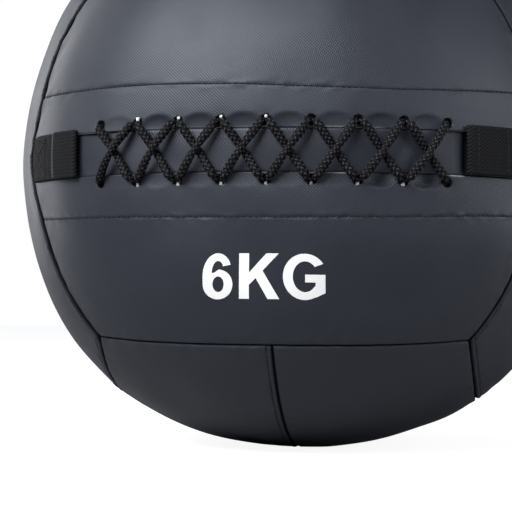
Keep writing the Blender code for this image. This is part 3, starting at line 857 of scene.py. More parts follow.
@dataclass
class Lace:
    """One braided lace in two passes: slantwise over the front and back behind the tongue."""

    shape: BallShape
    opening: Opening
    name: str = "lace_braid"
    radius: float = 2.5 * MM
    crossing: float = 0.76
    squeeze: float = 0.49
    stop_share: float = 1.17
    gap: float = 0.12 * MM
    strand_gap: float = 0.12 * MM
    tongue_depth: float = 1.6 * MM
    back_depth: float = 4.35 * MM
    back_room: float = 1.1 * MM
    step: float = 0.5 * MM
    sides: int = 28
    carriers: int = 4
    plait: float = 11 * MM
    relief: float = 0.6 * MM
    ride: float = 0.94
    pass_gap: float = 0.4 * MM
    knot_inset: float = 3.6 * MM
    knot_length: float = 1.8 * MM
    stops: list[tuple[float, float, float, float]] = field(default_factory=list)

    @property
    def squeezed(self) -> float:
        """Radius where the lace is squeezed in a hole or behind the tongue."""
        return self.radius * self.squeeze

    @property
    def first_depth(self) -> float:
        """Depth of the first pass behind the tongue."""
        return self.back_depth + self.squeezed + self.back_room

    @property
    def second_depth(self) -> float:
        """Depth of the second pass behind the tongue."""
        return self.first_depth + 2 * self.squeezed + self.pass_gap

    @property
    def low(self) -> float:
        """Height of the lower strands over the middle of the opening."""
        return self.radius * self.crossing + self.gap - self.tongue_depth

    @property
    def spread(self) -> float:
        """Angle of each of two strands from the middle of their hole."""
        return (2 * self.squeezed + self.strand_gap) / 2 / self.shape.radius

    def front_strand(self, start: float, end: float, middle: float) -> None:
        """From the mouth of an upper hole down over the opening to that of a lower one."""
        lift = self.radius * self.ride
        slot = self.opening.half_height
        hole = self.opening.hole_rise
        upper = [(hole - 1.5 * MM, lift * 0.72, self.radius * 0.8),
                 (hole - 2.9 * MM, lift, self.radius * 0.95),
                 (slot - 0.5 * MM, lift, self.radius),
                 (slot * 0.6, mix(lift, middle, 0.6), self.radius),
                 (slot * 0.25, mix(lift, middle, 0.95), self.radius * 0.88)]
        lower = [(-rise, height, radius) for rise, height, radius in reversed(upper)]
        for rise, height, radius in upper + [(0.0, middle, self.radius * self.crossing)] + lower:
            azimuth = mix(start, end, (1 - rise / self.opening.hole_rise) / 2)
            self.stops.append((azimuth, rise, height, radius))

    def through(self, azimuth: float, half: int, inward: bool, depth: float) -> None:
        """In or out through a hole of the lower or upper row."""
        hole = self.opening.hole_rise
        steps = [(hole - 0.75 * MM, 0.6 * MM, self.radius * 0.62),
                 (hole - 0.6 * MM, -depth * 0.5, self.squeezed),
                 (hole - 1.9 * MM, -depth * 0.95, self.squeezed)]
        for rise, height, radius in steps if inward else reversed(steps):
            self.stops.append((azimuth, half * rise, height, radius))

    def back_strand(self, start: float, end: float, depth: float) -> None:
        """Behind the tongue from a lower hole up to an upper one."""
        hole = self.opening.hole_rise
        for share in (0.2, 0.5, 0.8):
            self.stops.append((mix(start, end, share), mix(-hole, hole, share), -depth,
                               self.squeezed))

    def knot(self, azimuth: float, half: int, last: bool) -> None:
        """The thick end of the lace, held behind the tongue."""
        near = self.opening.hole_rise - self.knot_inset
        ends = [(azimuth, half * rise, -self.first_depth - 0.3 * MM,
                 self.radius * self.stop_share) for rise in (near, near - self.knot_length)]
        self.stops.extend(ends if last else reversed(ends))

    def plan(self) -> None:
        """Lead the lace through all holes, to the right in front and then back to the left."""
        holes = list(self.opening.hole_azimuths())
        spread, first = self.spread, self.first_depth
        high = self.low + 2 * self.radius * self.crossing + self.gap
        end = holes[0] - 0.3 * spread
        self.knot(end, 1, False)
        self.through(end, 1, False, first)
        for here, there in zip(holes, holes[1:]):
            rising = there - spread if there == holes[-1] else there + spread
            self.front_strand(end if here == holes[0] else here + spread, there - spread,
                              self.low)
            self.through(there - spread, -1, True, first)
            self.back_strand(there - spread, rising, first)
            self.through(rising, 1, False, first)
        for here, there in zip(holes[::-1], holes[-2::-1]):
            depth = first if there == holes[0] else self.second_depth
            arrival = end if there == holes[0] else there + spread
            self.front_strand(here - spread, arrival, high)
            self.through(arrival, -1, True, depth)
            if there != holes[0]:
                self.back_strand(there + spread, there - spread, depth)
                self.through(there - spread, 1, False, depth)
        self.knot(end, -1, True)

    def centreline(self) -> tuple[Array, Array]:
        """Points and radii at even steps of a smooth curve through the stops."""
        stops = np.array(self.stops)
        knots = self.shape.slot_point(stops[:, 0], stops[:, 1], stops[:, 2])
        values = np.column_stack([knots, stops[:, 3]])
        chord = np.sqrt(spans(knots))
        at = np.concatenate([[0], np.cumsum(chord)])
        slope = np.gradient(values, at, axis=0)
        fine = np.linspace(0, at[-1], 9000)
        cell = np.clip(np.searchsorted(at, fine, "right") - 1, 0, len(at) - 2)
        run = (at[cell + 1] - at[cell])[:, None]
        share = ((fine - at[cell])[:, None]) / run
        curve = ((2 * share ** 3 - 3 * share ** 2 + 1) * values[cell]
                 + (share ** 3 - 2 * share ** 2 + share) * run * slope[cell]
                 + (-2 * share ** 3 + 3 * share ** 2) * values[cell + 1]
                 + (share ** 3 - share ** 2) * run * slope[cell + 1])
        along = lengths_along(curve[:, :3])
        count = round(along[-1] / self.step)
        even = np.linspace(0, along[-1], count + 1)
        return (np.column_stack([np.interp(even, along, curve[:, k]) for k in range(3)]),
                np.interp(even, along, curve[:, 3]))

    def rings(self, line: Array) -> tuple[Array, Array]:
        """Two directions square to the line at each of its points, with no twist."""
        tangents = unit(np.gradient(line, axis=0))
        sides = np.empty_like(line)
        side = np.cross(tangents[0], [0, 0, 1])
        for k, tangent in enumerate(tangents):
            side = side - tangent * (side @ tangent)
            side /= np.linalg.norm(side)
            sides[k] = side
        return sides, np.cross(tangents, sides)

    def plaits(self, around: Array, along: Array) -> Array:
        """Height of the braid's plaits, from 0 in its grooves to 1 on its ridges."""
        left = self.carriers * around / math.tau + along / self.plait * self.carriers
        right = self.carriers * around / math.tau - along / self.plait * self.carriers
        over_left = (np.floor(left) + np.floor(right)) % 2 == 0
        across = np.where(over_left, left % 1, right % 1)
        lengthwise = np.where(over_left, right % 1, left % 1)
        return np.sin(across * math.pi) ** 0.8 * (0.3 + 0.7 * np.sin(lengthwise * math.pi))

    def build(self, centre: Vector) -> Object:
        """Make the braided lace, with its plaits as real relief."""
        self.plan()
        line, radii = self.centreline()
        turn = np.linspace(0, math.tau, self.sides, endpoint=False)[None]
        along = np.arange(len(line))[:, None] * self.step
        height = self.plaits(turn, along)
        reach = radii[:, None] - self.relief * (1 - height)
        points = tube(line, *self.rings(line), reach[..., None], self.sides)
        uv = np.stack([np.broadcast_to(part, height.shape)
                       for part in (turn / math.tau, along / self.plait)], -1)
        mesh = grid_mesh(self.name, points, uv, closed=True)
        turn_outward(mesh, closed=True)
        LOG.info("lace length %.3f m", len(line) * self.step)
        return make_object(self.name, mesh, centre)

    def press(self, points: Array, room: float) -> Array:
        """Least depth under the cover that keeps points clear of the front strands.

        Args:
            points: points of a sheet as rows, around the ball's centre.
            room: clear distance to keep.

        Returns:
            One depth for each point, far above the cover where no strand is near.
        """
        line, radii = self.centreline()
        depths = self.shape.cover_radius(unit(line)) - np.linalg.norm(line, axis=1)
        front = depths < 1.0 * MM
        line, radii, depths = line[front][::3], radii[front][::3], depths[front][::3]
        wanted = np.full(len(points), -1.0)
        for spot, radius, depth in zip(unit(line), radii, depths):
            gap = np.linalg.norm(points - spot, axis=1) * self.shape.radius
            reach = radius + room
            inside = gap < reach
            drop = depth + np.sqrt(np.maximum(reach ** 2 - gap ** 2, 0))
            wanted = np.where(inside, np.maximum(wanted, drop), wanted)
        return wanted


@dataclass
class TongueStrip:
    """The padded strip behind the opening, pressed in by the lace and tucked at its right end.

    The tuck looks like a hem beside the last holes; beyond it a dark sheet of the strip runs on
    under the keeper, put there as painted shade so that the gap by the keeper stays black.
    """

    shape: BallShape
    opening: Opening
    lace: Lace
    name: str = "tongue_cloth"
    depth: float = 1.95 * MM
    under: float = 2.6 * MM
    wall: float = 1.2 * MM
    lap: float = 1.8 * MM
    start: float = 2 * MM
    end: float = math.radians(34.9)
    hem: float = 4.5 * MM
    crown: float = 0.05 * MM
    spacing: float = 0.75 * MM
    flat_half: float = 10.6 * MM
    edge_rises: tuple[float, ...] = (11.0, 11.3, 11.55, 11.8, 12.3)
    fold: float = 0.75 * MM
    shade_tail_depth: float = 3 * MM
    strand_room: float = 0.06 * MM
    flat: Pair = (0.0, 0.0)

    def build(self, centre: Vector) -> Object:
        """Make the strip with its crown, its creases under the lace, its tuck and, as painted
        shade, a dark sheet under the keeper.
        """
        shape, drop = self.shape, self.shape.slot_drop
        seam = shape.seam_azimuth(-drop)
        first = self.start / shape.radius - seam
        count = round((self.end - first) * shape.radius / self.spacing)
        half = self.opening.half_height + self.lap
        upper = np.concatenate([np.linspace(0, self.flat_half, 15),
                                np.array(self.edge_rises) * MM, [half]])
        rise = np.concatenate([-upper[:0:-1], upper])
        across, up = np.meshgrid(np.linspace(first, self.end, count + 1), rise, indexing="ij")
        directions = shape.face_direction(across, up - drop)
        flat = directions.reshape(-1, 3)
        depth = np.maximum(self.plain_depth(flat, across.ravel(), up.ravel()),
                           self.lace.press(flat, self.strand_room)).reshape(across.shape)
        top = shape.cover_point(shape.pulled(directions), depth + self.wall / 2)
        last = top[-1]
        hem = self.folded(last, last, 1, (0.8, 1.57, 2.35, math.pi))
        back = hem[-1] - self.sideways(last) * self.hem
        tuck = self.folded(back, last, -1, (0.8, 1.57, 2.35))
        # Painted shade: a dark sheet of the strip laid under the keeper, where the gap shows only
        # shadow.
        shade_tail, level = np.meshgrid(np.linspace(self.end - self.hem / shape.radius,
                                              seam - self.start / shape.radius, 24),
                                  rise, indexing="ij")
        shade_tail = shape.cover_point(shape.pulled(shape.face_direction(shade_tail, level - drop)),
                                 depth[-1] + self.wall / 2 + self.shade_tail_depth)
        points = np.concatenate([top, [*hem, back, *tuck], shade_tail])
        uv = np.zeros((*points.shape[:2], 2))
        uv[1:, :, 0] = np.cumsum(spans(points), 0)
        uv[..., 1] = rise
        self.flat = grid_size(points)
        mesh = grid_mesh(self.name, points, uv * 10)
        turn_outward(mesh)
        piece = make_object(self.name, mesh, centre)
        thicken(piece, self.wall, 0)
        return piece

    def folded(self, edge: Array, last: Array, side: int,
               turns: Sequence[float]) -> list[Array]:
        """Rows of a round fold that starts at an edge and bulges right (1) or left (-1)."""
        inward, aside = -unit(last), self.sideways(last) * side
        return [edge + inward * (self.fold * (1 - math.cos(turn)))
                + aside * (self.fold * math.sin(turn)) for turn in turns]

    def plain_depth(self, directions: Array, azimuth: Array, rise: Array) -> Array:
        """Depth of the strip where no strand presses on it."""
        off_middle = np.abs(rise)
        past = np.abs(off_middle - self.opening.half_height)
        dips = np.where(rise > 0, *(self.opening.dip(azimuth, past, half) for half in (1, -1)))
        points = directions * self.shape.radius
        depth = self.depth - self.crown * (1 - ramp(off_middle, 0, 9 * MM))
        depth += 0.2 * MM * waves(points, 26 * MM, 7)
        depth = mix(depth, self.under + dips, ramp(off_middle, 10.9 * MM, 11.7 * MM))
        end_gap = (self.end - azimuth) * self.shape.radius
        depth += 0.25 * MM * bump(end_gap - 3.4 * MM, 0.5 * MM)
        return depth - 0.3 * MM * bump(end_gap, 2.4 * MM)

    def sideways(self, points: Array) -> Array:
        """Direction to the right along the ball at points."""
        return unit(np.stack([-points[..., 1], points[..., 0],
                              np.zeros(points.shape[:-1])], -1))


@dataclass
class WebbingKeeper:
    """Herringbone webbing over an end of the opening, with its end folded over or under."""

    shape: BallShape
    name: str
    side: int
    end: float
    fold: float
    folded_over: bool
    lift: float
    width: float = 25.4 * MM
    wall: float = 1.4 * MM
    gap: float = 0.3 * MM
    seam_inset: float = 1.6 * MM
    seam_dive: float = 2.4 * MM
    dive_step: float = 1.7 * MM
    spacing: float = 0.32 * MM
    rib: float = 1.9 * MM
    chevron: float = 5.4 * MM
    weave: float = 0.13 * MM

    def path(self) -> tuple[Array, Array]:
        """Angles and heights of the webbing's middle layer from the seam to its loose end."""
        low = self.gap + self.wall / 2
        high = low + self.wall + self.gap
        seam = self.shape.seam_azimuth(-self.shape.slot_drop) - self.seam_inset / self.shape.radius
        loose = self.end + self.fold
        dive = self.dive_step / self.shape.radius
        first = [(seam, -self.seam_dive), (seam - dive, -0.5 * MM)]
        if self.folded_over:
            stops = [*first, (seam - 4 * dive, low), (self.end, low), (self.end, high),
                     (loose, high)]
        else:
            stops = [*first, (seam - 4 * dive, low + 0.4 * MM),
                     (loose + 0.05, low + 0.6 * MM), (loose, high), (self.end, high),
                     (self.end, low), (loose, low)]
        spots = np.array([(angle * self.shape.radius, height) for angle, height in stops])
        line = [spots[0]]
        for before, here, after in zip(spots, spots[1:], spots[2:]):
            reach = min(np.linalg.norm(here - before), np.linalg.norm(after - here)) / 2
            start, end = (here + (other - here) / np.linalg.norm(other - here) * reach
                          for other in (before, after))
            line.extend(mix(mix(start, here, share), mix(here, end, share), share)
                        for share in np.linspace(0, 1, 9))
        line = np.array([*line, spots[-1]])
        along = lengths_along(line)
        even = np.linspace(0, along[-1], round(along[-1] / self.spacing) + 1)
        return (np.interp(even, along, line[:, 0]) / self.shape.radius,
                np.interp(even, along, line[:, 1]))

    def build(self, centre: Vector) -> Object:
        """Make the webbing as a closed band with its weave as relief on both sides."""
        angles, heights = self.path()
        rise = np.linspace(-self.width, self.width, round(self.width / self.spacing) + 1) / 2
        run = np.column_stack([angles * self.shape.radius, heights])
        slope = unit(np.gradient(run, axis=0))
        along = lengths_along(run)
        along -= along[-1]
        chevron = np.abs((along[:, None] + self.chevron / 2) % self.chevron - self.chevron / 2)
        phase = (rise[None] + chevron) / self.rib
        ribs = self.weave * np.sin(phase * math.tau)
        edge = 1 - np.clip((np.abs(rise) - self.width / 2 + self.wall * 0.6)
                           / (self.wall * 0.6), 0, 1) ** 2
        half_wall = self.wall / 2 * np.sqrt(np.maximum(edge, 0.04))[None]
        layers = []
        for sign in (1, -1):
            offset = sign * half_wall + sign * ribs * edge[None]
            across = (run[:, None, 0] - slope[:, None, 1] * offset) / self.shape.radius
            height = run[:, None, 1] + slope[:, None, 0] * offset
            directions = self.shape.face_direction(self.side * across,
                                                   rise[None] + self.lift - self.shape.slot_drop)
            layers.append(self.shape.cover_point(self.shape.pulled(directions), -height))
        ring = np.concatenate([layers[0], layers[1][:, ::-1]], 1)
        uv = np.zeros((*ring.shape[:2], 2))
        uv[..., 0] = along[:, None] * 10
        uv[..., 1] = np.concatenate([rise, rise[::-1]])[None] * 10
        mesh = grid_mesh(self.name, ring, uv, closed=True)
        turn_outward(mesh, closed=True)
        return make_object(self.name, mesh, centre)


@dataclass
class Stitching:
    """Rows of thread stitches, each a short arched strand that dips in at its two ends.

    A row runs along a line on a surface, around the ball's centre.
    """

    name: str
    rows: list[Array]
    radius: float = 0.25 * MM
    pitch: float = 3.3 * MM
    share: float = 0.8
    arch: float = 0.16 * MM
    sink: float = 0.34 * MM
    proud: float = 0.6
    sides: int = 5
    rings: int = 5
    floor: float = -1.0

    def strand(self, line: Array, along: Array, start: float, end: float) -> Array:
        """The rings of one stitch between two lengths along its row."""
        share = np.linspace(0, 1, self.rings)
        at = mix(start, end, share)
        axis = np.column_stack([np.interp(at, along, line[:, k]) for k in range(3)])
        outward = unit(axis)
        lift = self.arch - (self.sink + self.arch) * np.abs(2 * share - 1) ** 3
        axis = axis + outward * (lift + self.radius * self.proud)[:, None]
        tangent = unit(np.gradient(axis, axis=0))
        sideways = unit(np.cross(tangent, outward))
        upward = np.cross(sideways, tangent)
        points = tube(axis, sideways, upward, self.radius, self.sides)
        points[..., 2] = np.maximum(points[..., 2], self.floor)
        return points

    def build(self, centre: Vector) -> Object:
        """Make all rows as one piece."""
        points, faces = [], []
        ring_index = np.arange(self.rings * self.sides).reshape(self.rings, self.sides)
        after = np.roll(ring_index, -1, 1)
        quads = np.stack([ring_index[:-1], ring_index[1:], after[1:], after[:-1]],
                         -1).reshape(-1, 4)
        caps = [ring_index[0][::-1], ring_index[-1]]
        for line in self.rows:
            along = lengths_along(line)
            for k in range(int(along[-1] // self.pitch)):
                base = len(points) * self.rings * self.sides
                points.append(self.strand(line, along, k * self.pitch,
                                          (k + self.share) * self.pitch))
                faces += (quads + base).tolist() + [(cap + base).tolist() for cap in caps]
        mesh = bpy.data.meshes.new(self.name)
        mesh.from_pydata(np.concatenate([part.reshape(-1, 3) for part in points]).tolist(),
                         [], faces)
        turn_outward(mesh, closed=True)
        mesh.shade_smooth()
        return make_object(self.name, mesh, centre)


def seam_row(panel: CoverPanel, key: str) -> Array:
    """The line of a panel's topstitch beside one of its seams, on the panel's surface."""
    margin = 0.012
    t = np.linspace(margin, 1 - margin, 260)
    across_u = key in ("start", "end")
    end = float(key in ("rim", "end"))
    share = np.abs(end - panel.patch.edge_share(panel.lap, across_u, end, t))
    pair = (share, t) if across_u else (t, share)
    return panel.surface(panel.patch.direction(*pair) @ panel.face.turn.T)


def long_row(panel: CoverPanel) -> Array:
    """The line of the stitch that holds a facing, across a front panel."""
    reach = panel.shape.seam_azimuth(panel.opening.stitch_rise(np.array([0.9]), panel.half)[0])
    azimuth = np.linspace(-reach + 0.03, reach - 0.03, 500)
    rise = panel.opening.stitch_rise(azimuth, panel.half)
    return panel.surface(panel.shape.face_direction(azimuth, rise))


def keeper_rows(keeper: WebbingKeeper, marks: Sequence[Sequence[Pair]],
                height: float) -> list[Array]:
    """Stitch rows on a keeper from stops of an angle in degrees and a rise in millimetres.

    Args:
        keeper: the webbing.
        marks: the stops of each row.
        height: height of the webbing's surface over the cover.

    Returns:
        A line of points for each row.
    """
    rows = []
    for stops in marks:
        angles, rises = np.array(stops).T
        share = np.linspace(0, 1, 12 * (len(stops) - 1) + 1)
        at = np.linspace(0, 1, len(stops))
        directions = keeper.shape.face_direction(
            keeper.side * np.radians(np.interp(share, at, angles)),
            np.interp(share, at, rises) * MM + keeper.lift - keeper.shape.slot_drop)
        rows.append(keeper.shape.cover_point(keeper.shape.pulled(directions), -height))
    return rows


@dataclass
class WeightMark:
    """The plain weight mark printed on the front: flat white strokes that follow the panel."""

    panel: CoverPanel
    name: str = "weight_mark"
    left: float = -34.5 * MM
    right: float = 30.1 * MM
    top: float = -58.6 * MM
    bottom: float = -81.7 * MM
    lean: float = 0.045
    lift: float = 0.1 * MM
    wall: float = 0.12 * MM
    cell: float = 2.5 * MM

    @staticmethod
    def arc(centre: Pair, reach: Pair, start: float, end: float,
            steps: int = 18) -> list[Pair]:
        """Points on an oval between two angles in degrees, anticlockwise from the right."""
        turns = np.radians(np.linspace(start, end, steps + 1))
        return [(centre[0] + reach[0] * math.cos(turn), centre[1] + reach[1] * math.sin(turn))
                for turn in turns]

    def outlines(self) -> list[list[Pair]]:
        """Outlines of the three signs, in a box 114 wide and 43 high."""
        arc = self.arc
        six = (arc((14.3, 28), (12.9, 15), 16, 90) + arc((14.3, 21.5), (14.3, 21.5), 90, 180)
               + arc((14.3, 14), (14.3, 14), 180, 445, 30)
               + arc((19.5, 19.5), (11, 8.6), 140, 140, 0)
               + arc((14.6, 24), (5.9, 12), 176, 100) + arc((14.6, 29.6), (5, 6.4), 90, 12, 8))
        bowl = arc((14.8, 14.2), (5.4, 7.4), 0, 360, 28)[:-1]
        bar = [(34.8, 0.6), (44.2, 0.6), (44.2, 13.6), (50.6, 19.6), (61.8, 0.6), (72.8, 0.6),
               (57, 26.4), (72.2, 42.6), (60.6, 42.6), (44.2, 24.6), (44.2, 42.6), (34.8, 42.6)]
        gee = (arc((96.6, 21.5), (20.4, 21.5), 35, 285, 40) + [(109, 3.3), (115.4, 6.4),
               (115.4, 23.4), (96.8, 23.4), (96.8, 16.2), (106.4, 16.2), (106.4, 12.6)]
               + arc((96.8, 21.5), (11.4, 14.4), 318, 40, 30))
        return [six, bowl, bar, gee]

    def build(self, centre: Vector) -> Object:
        """Fill the outlines, cut them in small cells and lay them on the panel."""
        curve = bpy.data.curves.new(self.name, "CURVE")
        curve.dimensions, curve.fill_mode = "2D", "BOTH"
        scale = (self.right - self.left) / 115.4
        rise = (self.top - self.bottom) / 43
        for outline in self.outlines():
            spline = curve.splines.new("POLY")
            spline.points.add(len(outline) - 1)
            for target, (x, y) in zip(spline.points, outline):
                target.co = (self.left + x * scale + (y - 21.5) * rise * self.lean,
                             self.bottom + y * rise, 0, 1)
            spline.use_cyclic_u = True
        drawn = link_object(self.name, curve)
        pick(drawn)
        bpy.ops.object.convert(target="MESH")
        bpy.ops.object.mode_set(mode="EDIT")
        for axis, low, high in ((0, self.left, self.right), (1, self.bottom, self.top)):
            for place in np.arange(low, high, self.cell)[1:]:
                bpy.ops.mesh.select_all(action="SELECT")
                spot, square = [0.0, 0.0, 0.0], [0.0, 0.0, 0.0]
                spot[axis], square[axis] = float(place), 1.0
                bpy.ops.mesh.bisect(plane_co=spot, plane_no=square)
        bpy.ops.mesh.select_all(action="SELECT")
        bpy.ops.mesh.remove_doubles(threshold=0.00001)
        bpy.ops.object.mode_set(mode="OBJECT")
        flat = np.array([vertex.co for vertex in drawn.data.vertices])
        reach = self.panel.shape.radius
        points = np.stack([flat[:, 0], -np.sqrt(reach ** 2 - flat[:, 0] ** 2 - flat[:, 1] ** 2),
                           flat[:, 1]], -1)
        surface = self.panel.surface(unit(points))
        surface += unit(surface) * self.lift
        for vertex, spot in zip(drawn.data.vertices, surface):
            vertex.co = Vector(spot) + centre
        turn_outward(drawn.data)
        thicken(drawn, self.wall)
        return drawn


@dataclass
class Filling:
    """Two halves of packed fibre round a tied cotton bag of sand."""

    shape: BallShape
    depth: float = 11.2 * MM
    half_gap: float = 0.15 * MM
    bag_radius: float = 78 * MM
    bag_half_height: float = 62 * MM
    neck_radius: float = 10 * MM
    neck_height: float = 76 * MM
    mouth_radius: float = 16 * MM
    mouth_height: float = 96 * MM
    wall: float = 1.2 * MM
    clearance: float = 0.6 * MM
    pleats: int = 14
    cloth_cap: float = 1.2 * MM
    cap_share: float = 0.9
    pressure: float = 4
    frames: int = 20
    voxel: float = 5 * MM
    gather: float = 1.3 * MM
    gather_from: float = 40 * MM
    gather_to: float = 74 * MM
    sag: float = 0.4 * MM
    sand_gap: float = 1.1 * MM
    sand_dimples: float = 0.004
    sand_wave: float = 14 * MM
    tie_radius: float = 0.65 * MM
    tie_points: int = 120

    def body(self, outset: float, stations: int = 40) -> list[Pair]:
        """Radius and height of the bag's round body, from its shoulder to its bottom."""
        shoulder = math.asin(self.neck_radius / self.bag_radius)
        return [((self.bag_radius + outset) * math.sin(turn),
                 (self.bag_half_height + outset) * math.cos(turn))
                for turn in np.linspace(shoulder, math.pi, stations)]

    def turned(self, name: str, profile: Sequence[Pair], steps: int = 96) -> Object:
        """A piece spun from a profile that runs down its outer side."""
        mesh = bpy.data.meshes.new(name)
        mesh.from_pydata([(radius, 0, height) for radius, height in profile],
                         [(k, k + 1) for k in range(len(profile) - 1)], [])
        piece = link_object(name, mesh)
        pick(piece)
        bpy.ops.object.mode_set(mode="EDIT")
        bpy.ops.mesh.select_all(action="SELECT")
        bpy.ops.mesh.spin(steps=steps, angle=math.tau, center=(0, 0, 0), axis=(0, 0, 1))
        bpy.ops.mesh.select_all(action="SELECT")
        bpy.ops.mesh.remove_doubles(threshold=0.00002)
        bpy.ops.mesh.normals_make_consistent(inside=False)
        bpy.ops.object.mode_set(mode="OBJECT")
        piece.data.shade_smooth()
        return piece

    def build_bag(self, centre: Vector) -> Object:
        """The cotton bag: pleats gather in its neck, and it sags a little in folds."""
        neck = [(mix(self.mouth_radius, self.neck_radius, share ** 0.5),
                 mix(self.mouth_height, self.neck_height, share))
                for share in np.linspace(0, 1, 12)]
        bag = self.turned("sand_bag_cotton", neck + self.body(-self.sag), 168)
        for vertex in bag.data.vertices:
            turn = math.atan2(vertex.co.y, vertex.co.x)
            share = float(ramp(np.array(vertex.co.z), self.gather_from, self.gather_to))
            depth = self.gather * share
            amount = depth * math.cos(self.pleats * turn) - depth
            flat = Vector((vertex.co.x, vertex.co.y, 0))
            if flat.length > 1 * MM:
                vertex.co += flat.normalized() * amount
        bag.data.transform(Matrix.Translation(centre))
        thicken(bag, self.wall)
        return bag

    def build_sand(self, centre: Vector) -> Object:
        """The sand: the bag's inside, with a dimpled surface."""
        heap = self.body(-self.wall - self.sand_gap)
        sand = self.turned("sand_heap", [(0, heap[0][1])] + heap)
        for vertex in sand.data.vertices:
            dimple = float(waves(np.array([vertex.co]), self.sand_wave, 31)[0])
            vertex.co *= 1 + self.sand_dimples * dimple
        sand.data.transform(Matrix.Translation(centre))
        return sand

    def build_tie(self, centre: Vector) -> Object:
        """The cord tied round the bag's neck: two turns and a flat knot."""
        reach, height = self.neck_radius + 1.0 * MM, self.neck_height - 1.6 * MM
        shares = [k / (self.tie_points - 1) for k in range(self.tie_points)]
        line = np.array([(reach * math.cos(2 * math.tau * share),
                          reach * math.sin(2 * math.tau * share),
                          height + (2 * share - 1) * self.tie_radius) for share in shares])
        outward = unit(line * np.array([1, 1, 0]))
        upward = np.cross(unit(np.gradient(line, axis=0)), outward)
        rings = tube(line, outward, upward, self.tie_radius, 12)
        mesh = grid_mesh("bag_tie", rings, closed=True)
        turn_outward(mesh, closed=True)
        return make_object("bag_tie_cord", mesh, centre)

    def build_fibre(self, name: str, side: int, centre: Vector) -> Object:
        """Half of the packed fibre, swollen by simulated pressure against the cover."""
        bpy.ops.object.select_all(action="DESELECT")
        bpy.ops.mesh.primitive_uv_sphere_add(segments=96, ring_count=48, radius=0.1)
        piece = bpy.context.object
        piece.name = name
        directions = unit(np.array([vertex.co for vertex in piece.data.vertices]))
        points = self.shape.cover_point(directions, self.depth + self.cloth_cap)
        for vertex, spot in zip(piece.data.vertices, points):
            vertex.co = spot
        bpy.ops.object.mode_set(mode="EDIT")
        bpy.ops.mesh.select_all(action="SELECT")
        bpy.ops.mesh.bisect(plane_co=(0, 0, side * (self.half_gap + self.cloth_cap)),
                            plane_no=(0, 0, -side), clear_outer=True, use_fill=True)
        bpy.ops.object.mode_set(mode="OBJECT")
        hollow = self.turned("weight_hollow", self.hollow_profile())
        cut_away(piece, hollow)
        remesh = piece.modifiers.new("Even", "REMESH")
        remesh.mode, remesh.voxel_size = "VOXEL", self.voxel
        apply_modifiers(piece)
        bpy.data.objects.remove(hollow, do_unlink=True)
        self.swell(piece)
        piece.data.shade_smooth()
        piece.data.transform(Matrix.Translation(centre))
        return piece

    def hollow_profile(self) -> list[Pair]:
        """Profile of the space that the bag takes in the fibre."""
        room = self.clearance + self.cloth_cap
        wide, high = self.mouth_radius + room, self.mouth_height + room
        body = [spot for spot in self.body(room) if spot[0] > wide or spot[1] < 0]
        return [(0, high), (wide, high), (wide, self.bag_half_height + room), *body]

    def swell(self, piece: Object) -> None:
        """Blow a piece up as cloth, no point moving more than the cap."""
        rest = np.array([vertex.co for vertex in piece.data.vertices])
        cloth = piece.modifiers.new("Cloth", "CLOTH")
        cloth.settings.use_pressure = True
        cloth.settings.uniform_pressure_force = self.pressure
        cloth.settings.effector_weights.gravity = 0
        for step in range(1, self.frames + 1):
            bpy.context.scene.frame_set(step)
        graph = bpy.context.evaluated_depsgraph_get()
        blown = np.array([vertex.co for vertex in piece.evaluated_get(graph).data.vertices])
        piece.modifiers.remove(cloth)
        bpy.context.scene.frame_set(1)
        move = blown - rest
        length = np.linalg.norm(move, axis=1, keepdims=True)
        move *= np.minimum(1, self.cloth_cap * self.cap_share / np.maximum(length, 1e-9))
        for vertex, spot in zip(piece.data.vertices, rest + move):
            vertex.co = spot
        finer = piece.modifiers.new("Finer", "SUBSURF")
        finer.levels = finer.render_levels = 1
        apply_modifiers(piece)


class Number:
    """A number in a node tree: Python's operators add the Math nodes."""

    def __init__(self, palette: "Palette", socket: NodeSocket) -> None:
        """Wrap a socket of a palette."""
        self.palette = palette
        self.socket = socket

    def maths(self, operation: str, other: Any = None, swap: bool = False) -> "Number":
        """Add a Math node on this value and another, or on another and this one."""
        node = self.palette.node("Math", {"operation": operation})
        for place, value in zip(node.inputs, (other, self) if swap else (self, other)):
            if value is not None:
                self.palette.put(place, value)
        return Number(self.palette, node.outputs[0])

    def __add__(self, other: Any) -> "Number":
        """The sum."""
        return self.maths("ADD", other)

    def __mul__(self, other: Any) -> "Number":
        """The product."""
        return self.maths("MULTIPLY", other)

    def __sub__(self, other: Any) -> "Number":
        """The difference."""
        return self.maths("SUBTRACT", other)

    def __rsub__(self, other: Any) -> "Number":
        """The difference from a plain number."""
        return self.maths("SUBTRACT", other, swap=True)

    def __pow__(self, other: Any) -> "Number":
        """The power."""
        return self.maths("POWER", other)

    def wave(self, length: float) -> "Number":
        """A sine of this wavelength, from 0 to 1."""
        return (self * (math.tau / length)).maths("SINE") * 0.5 + 0.5

    def arch(self) -> "Number":
        """Half a sine wave: 0 at 0 and at 1, and 1 between them."""
        return (self * math.pi).maths("SINE")


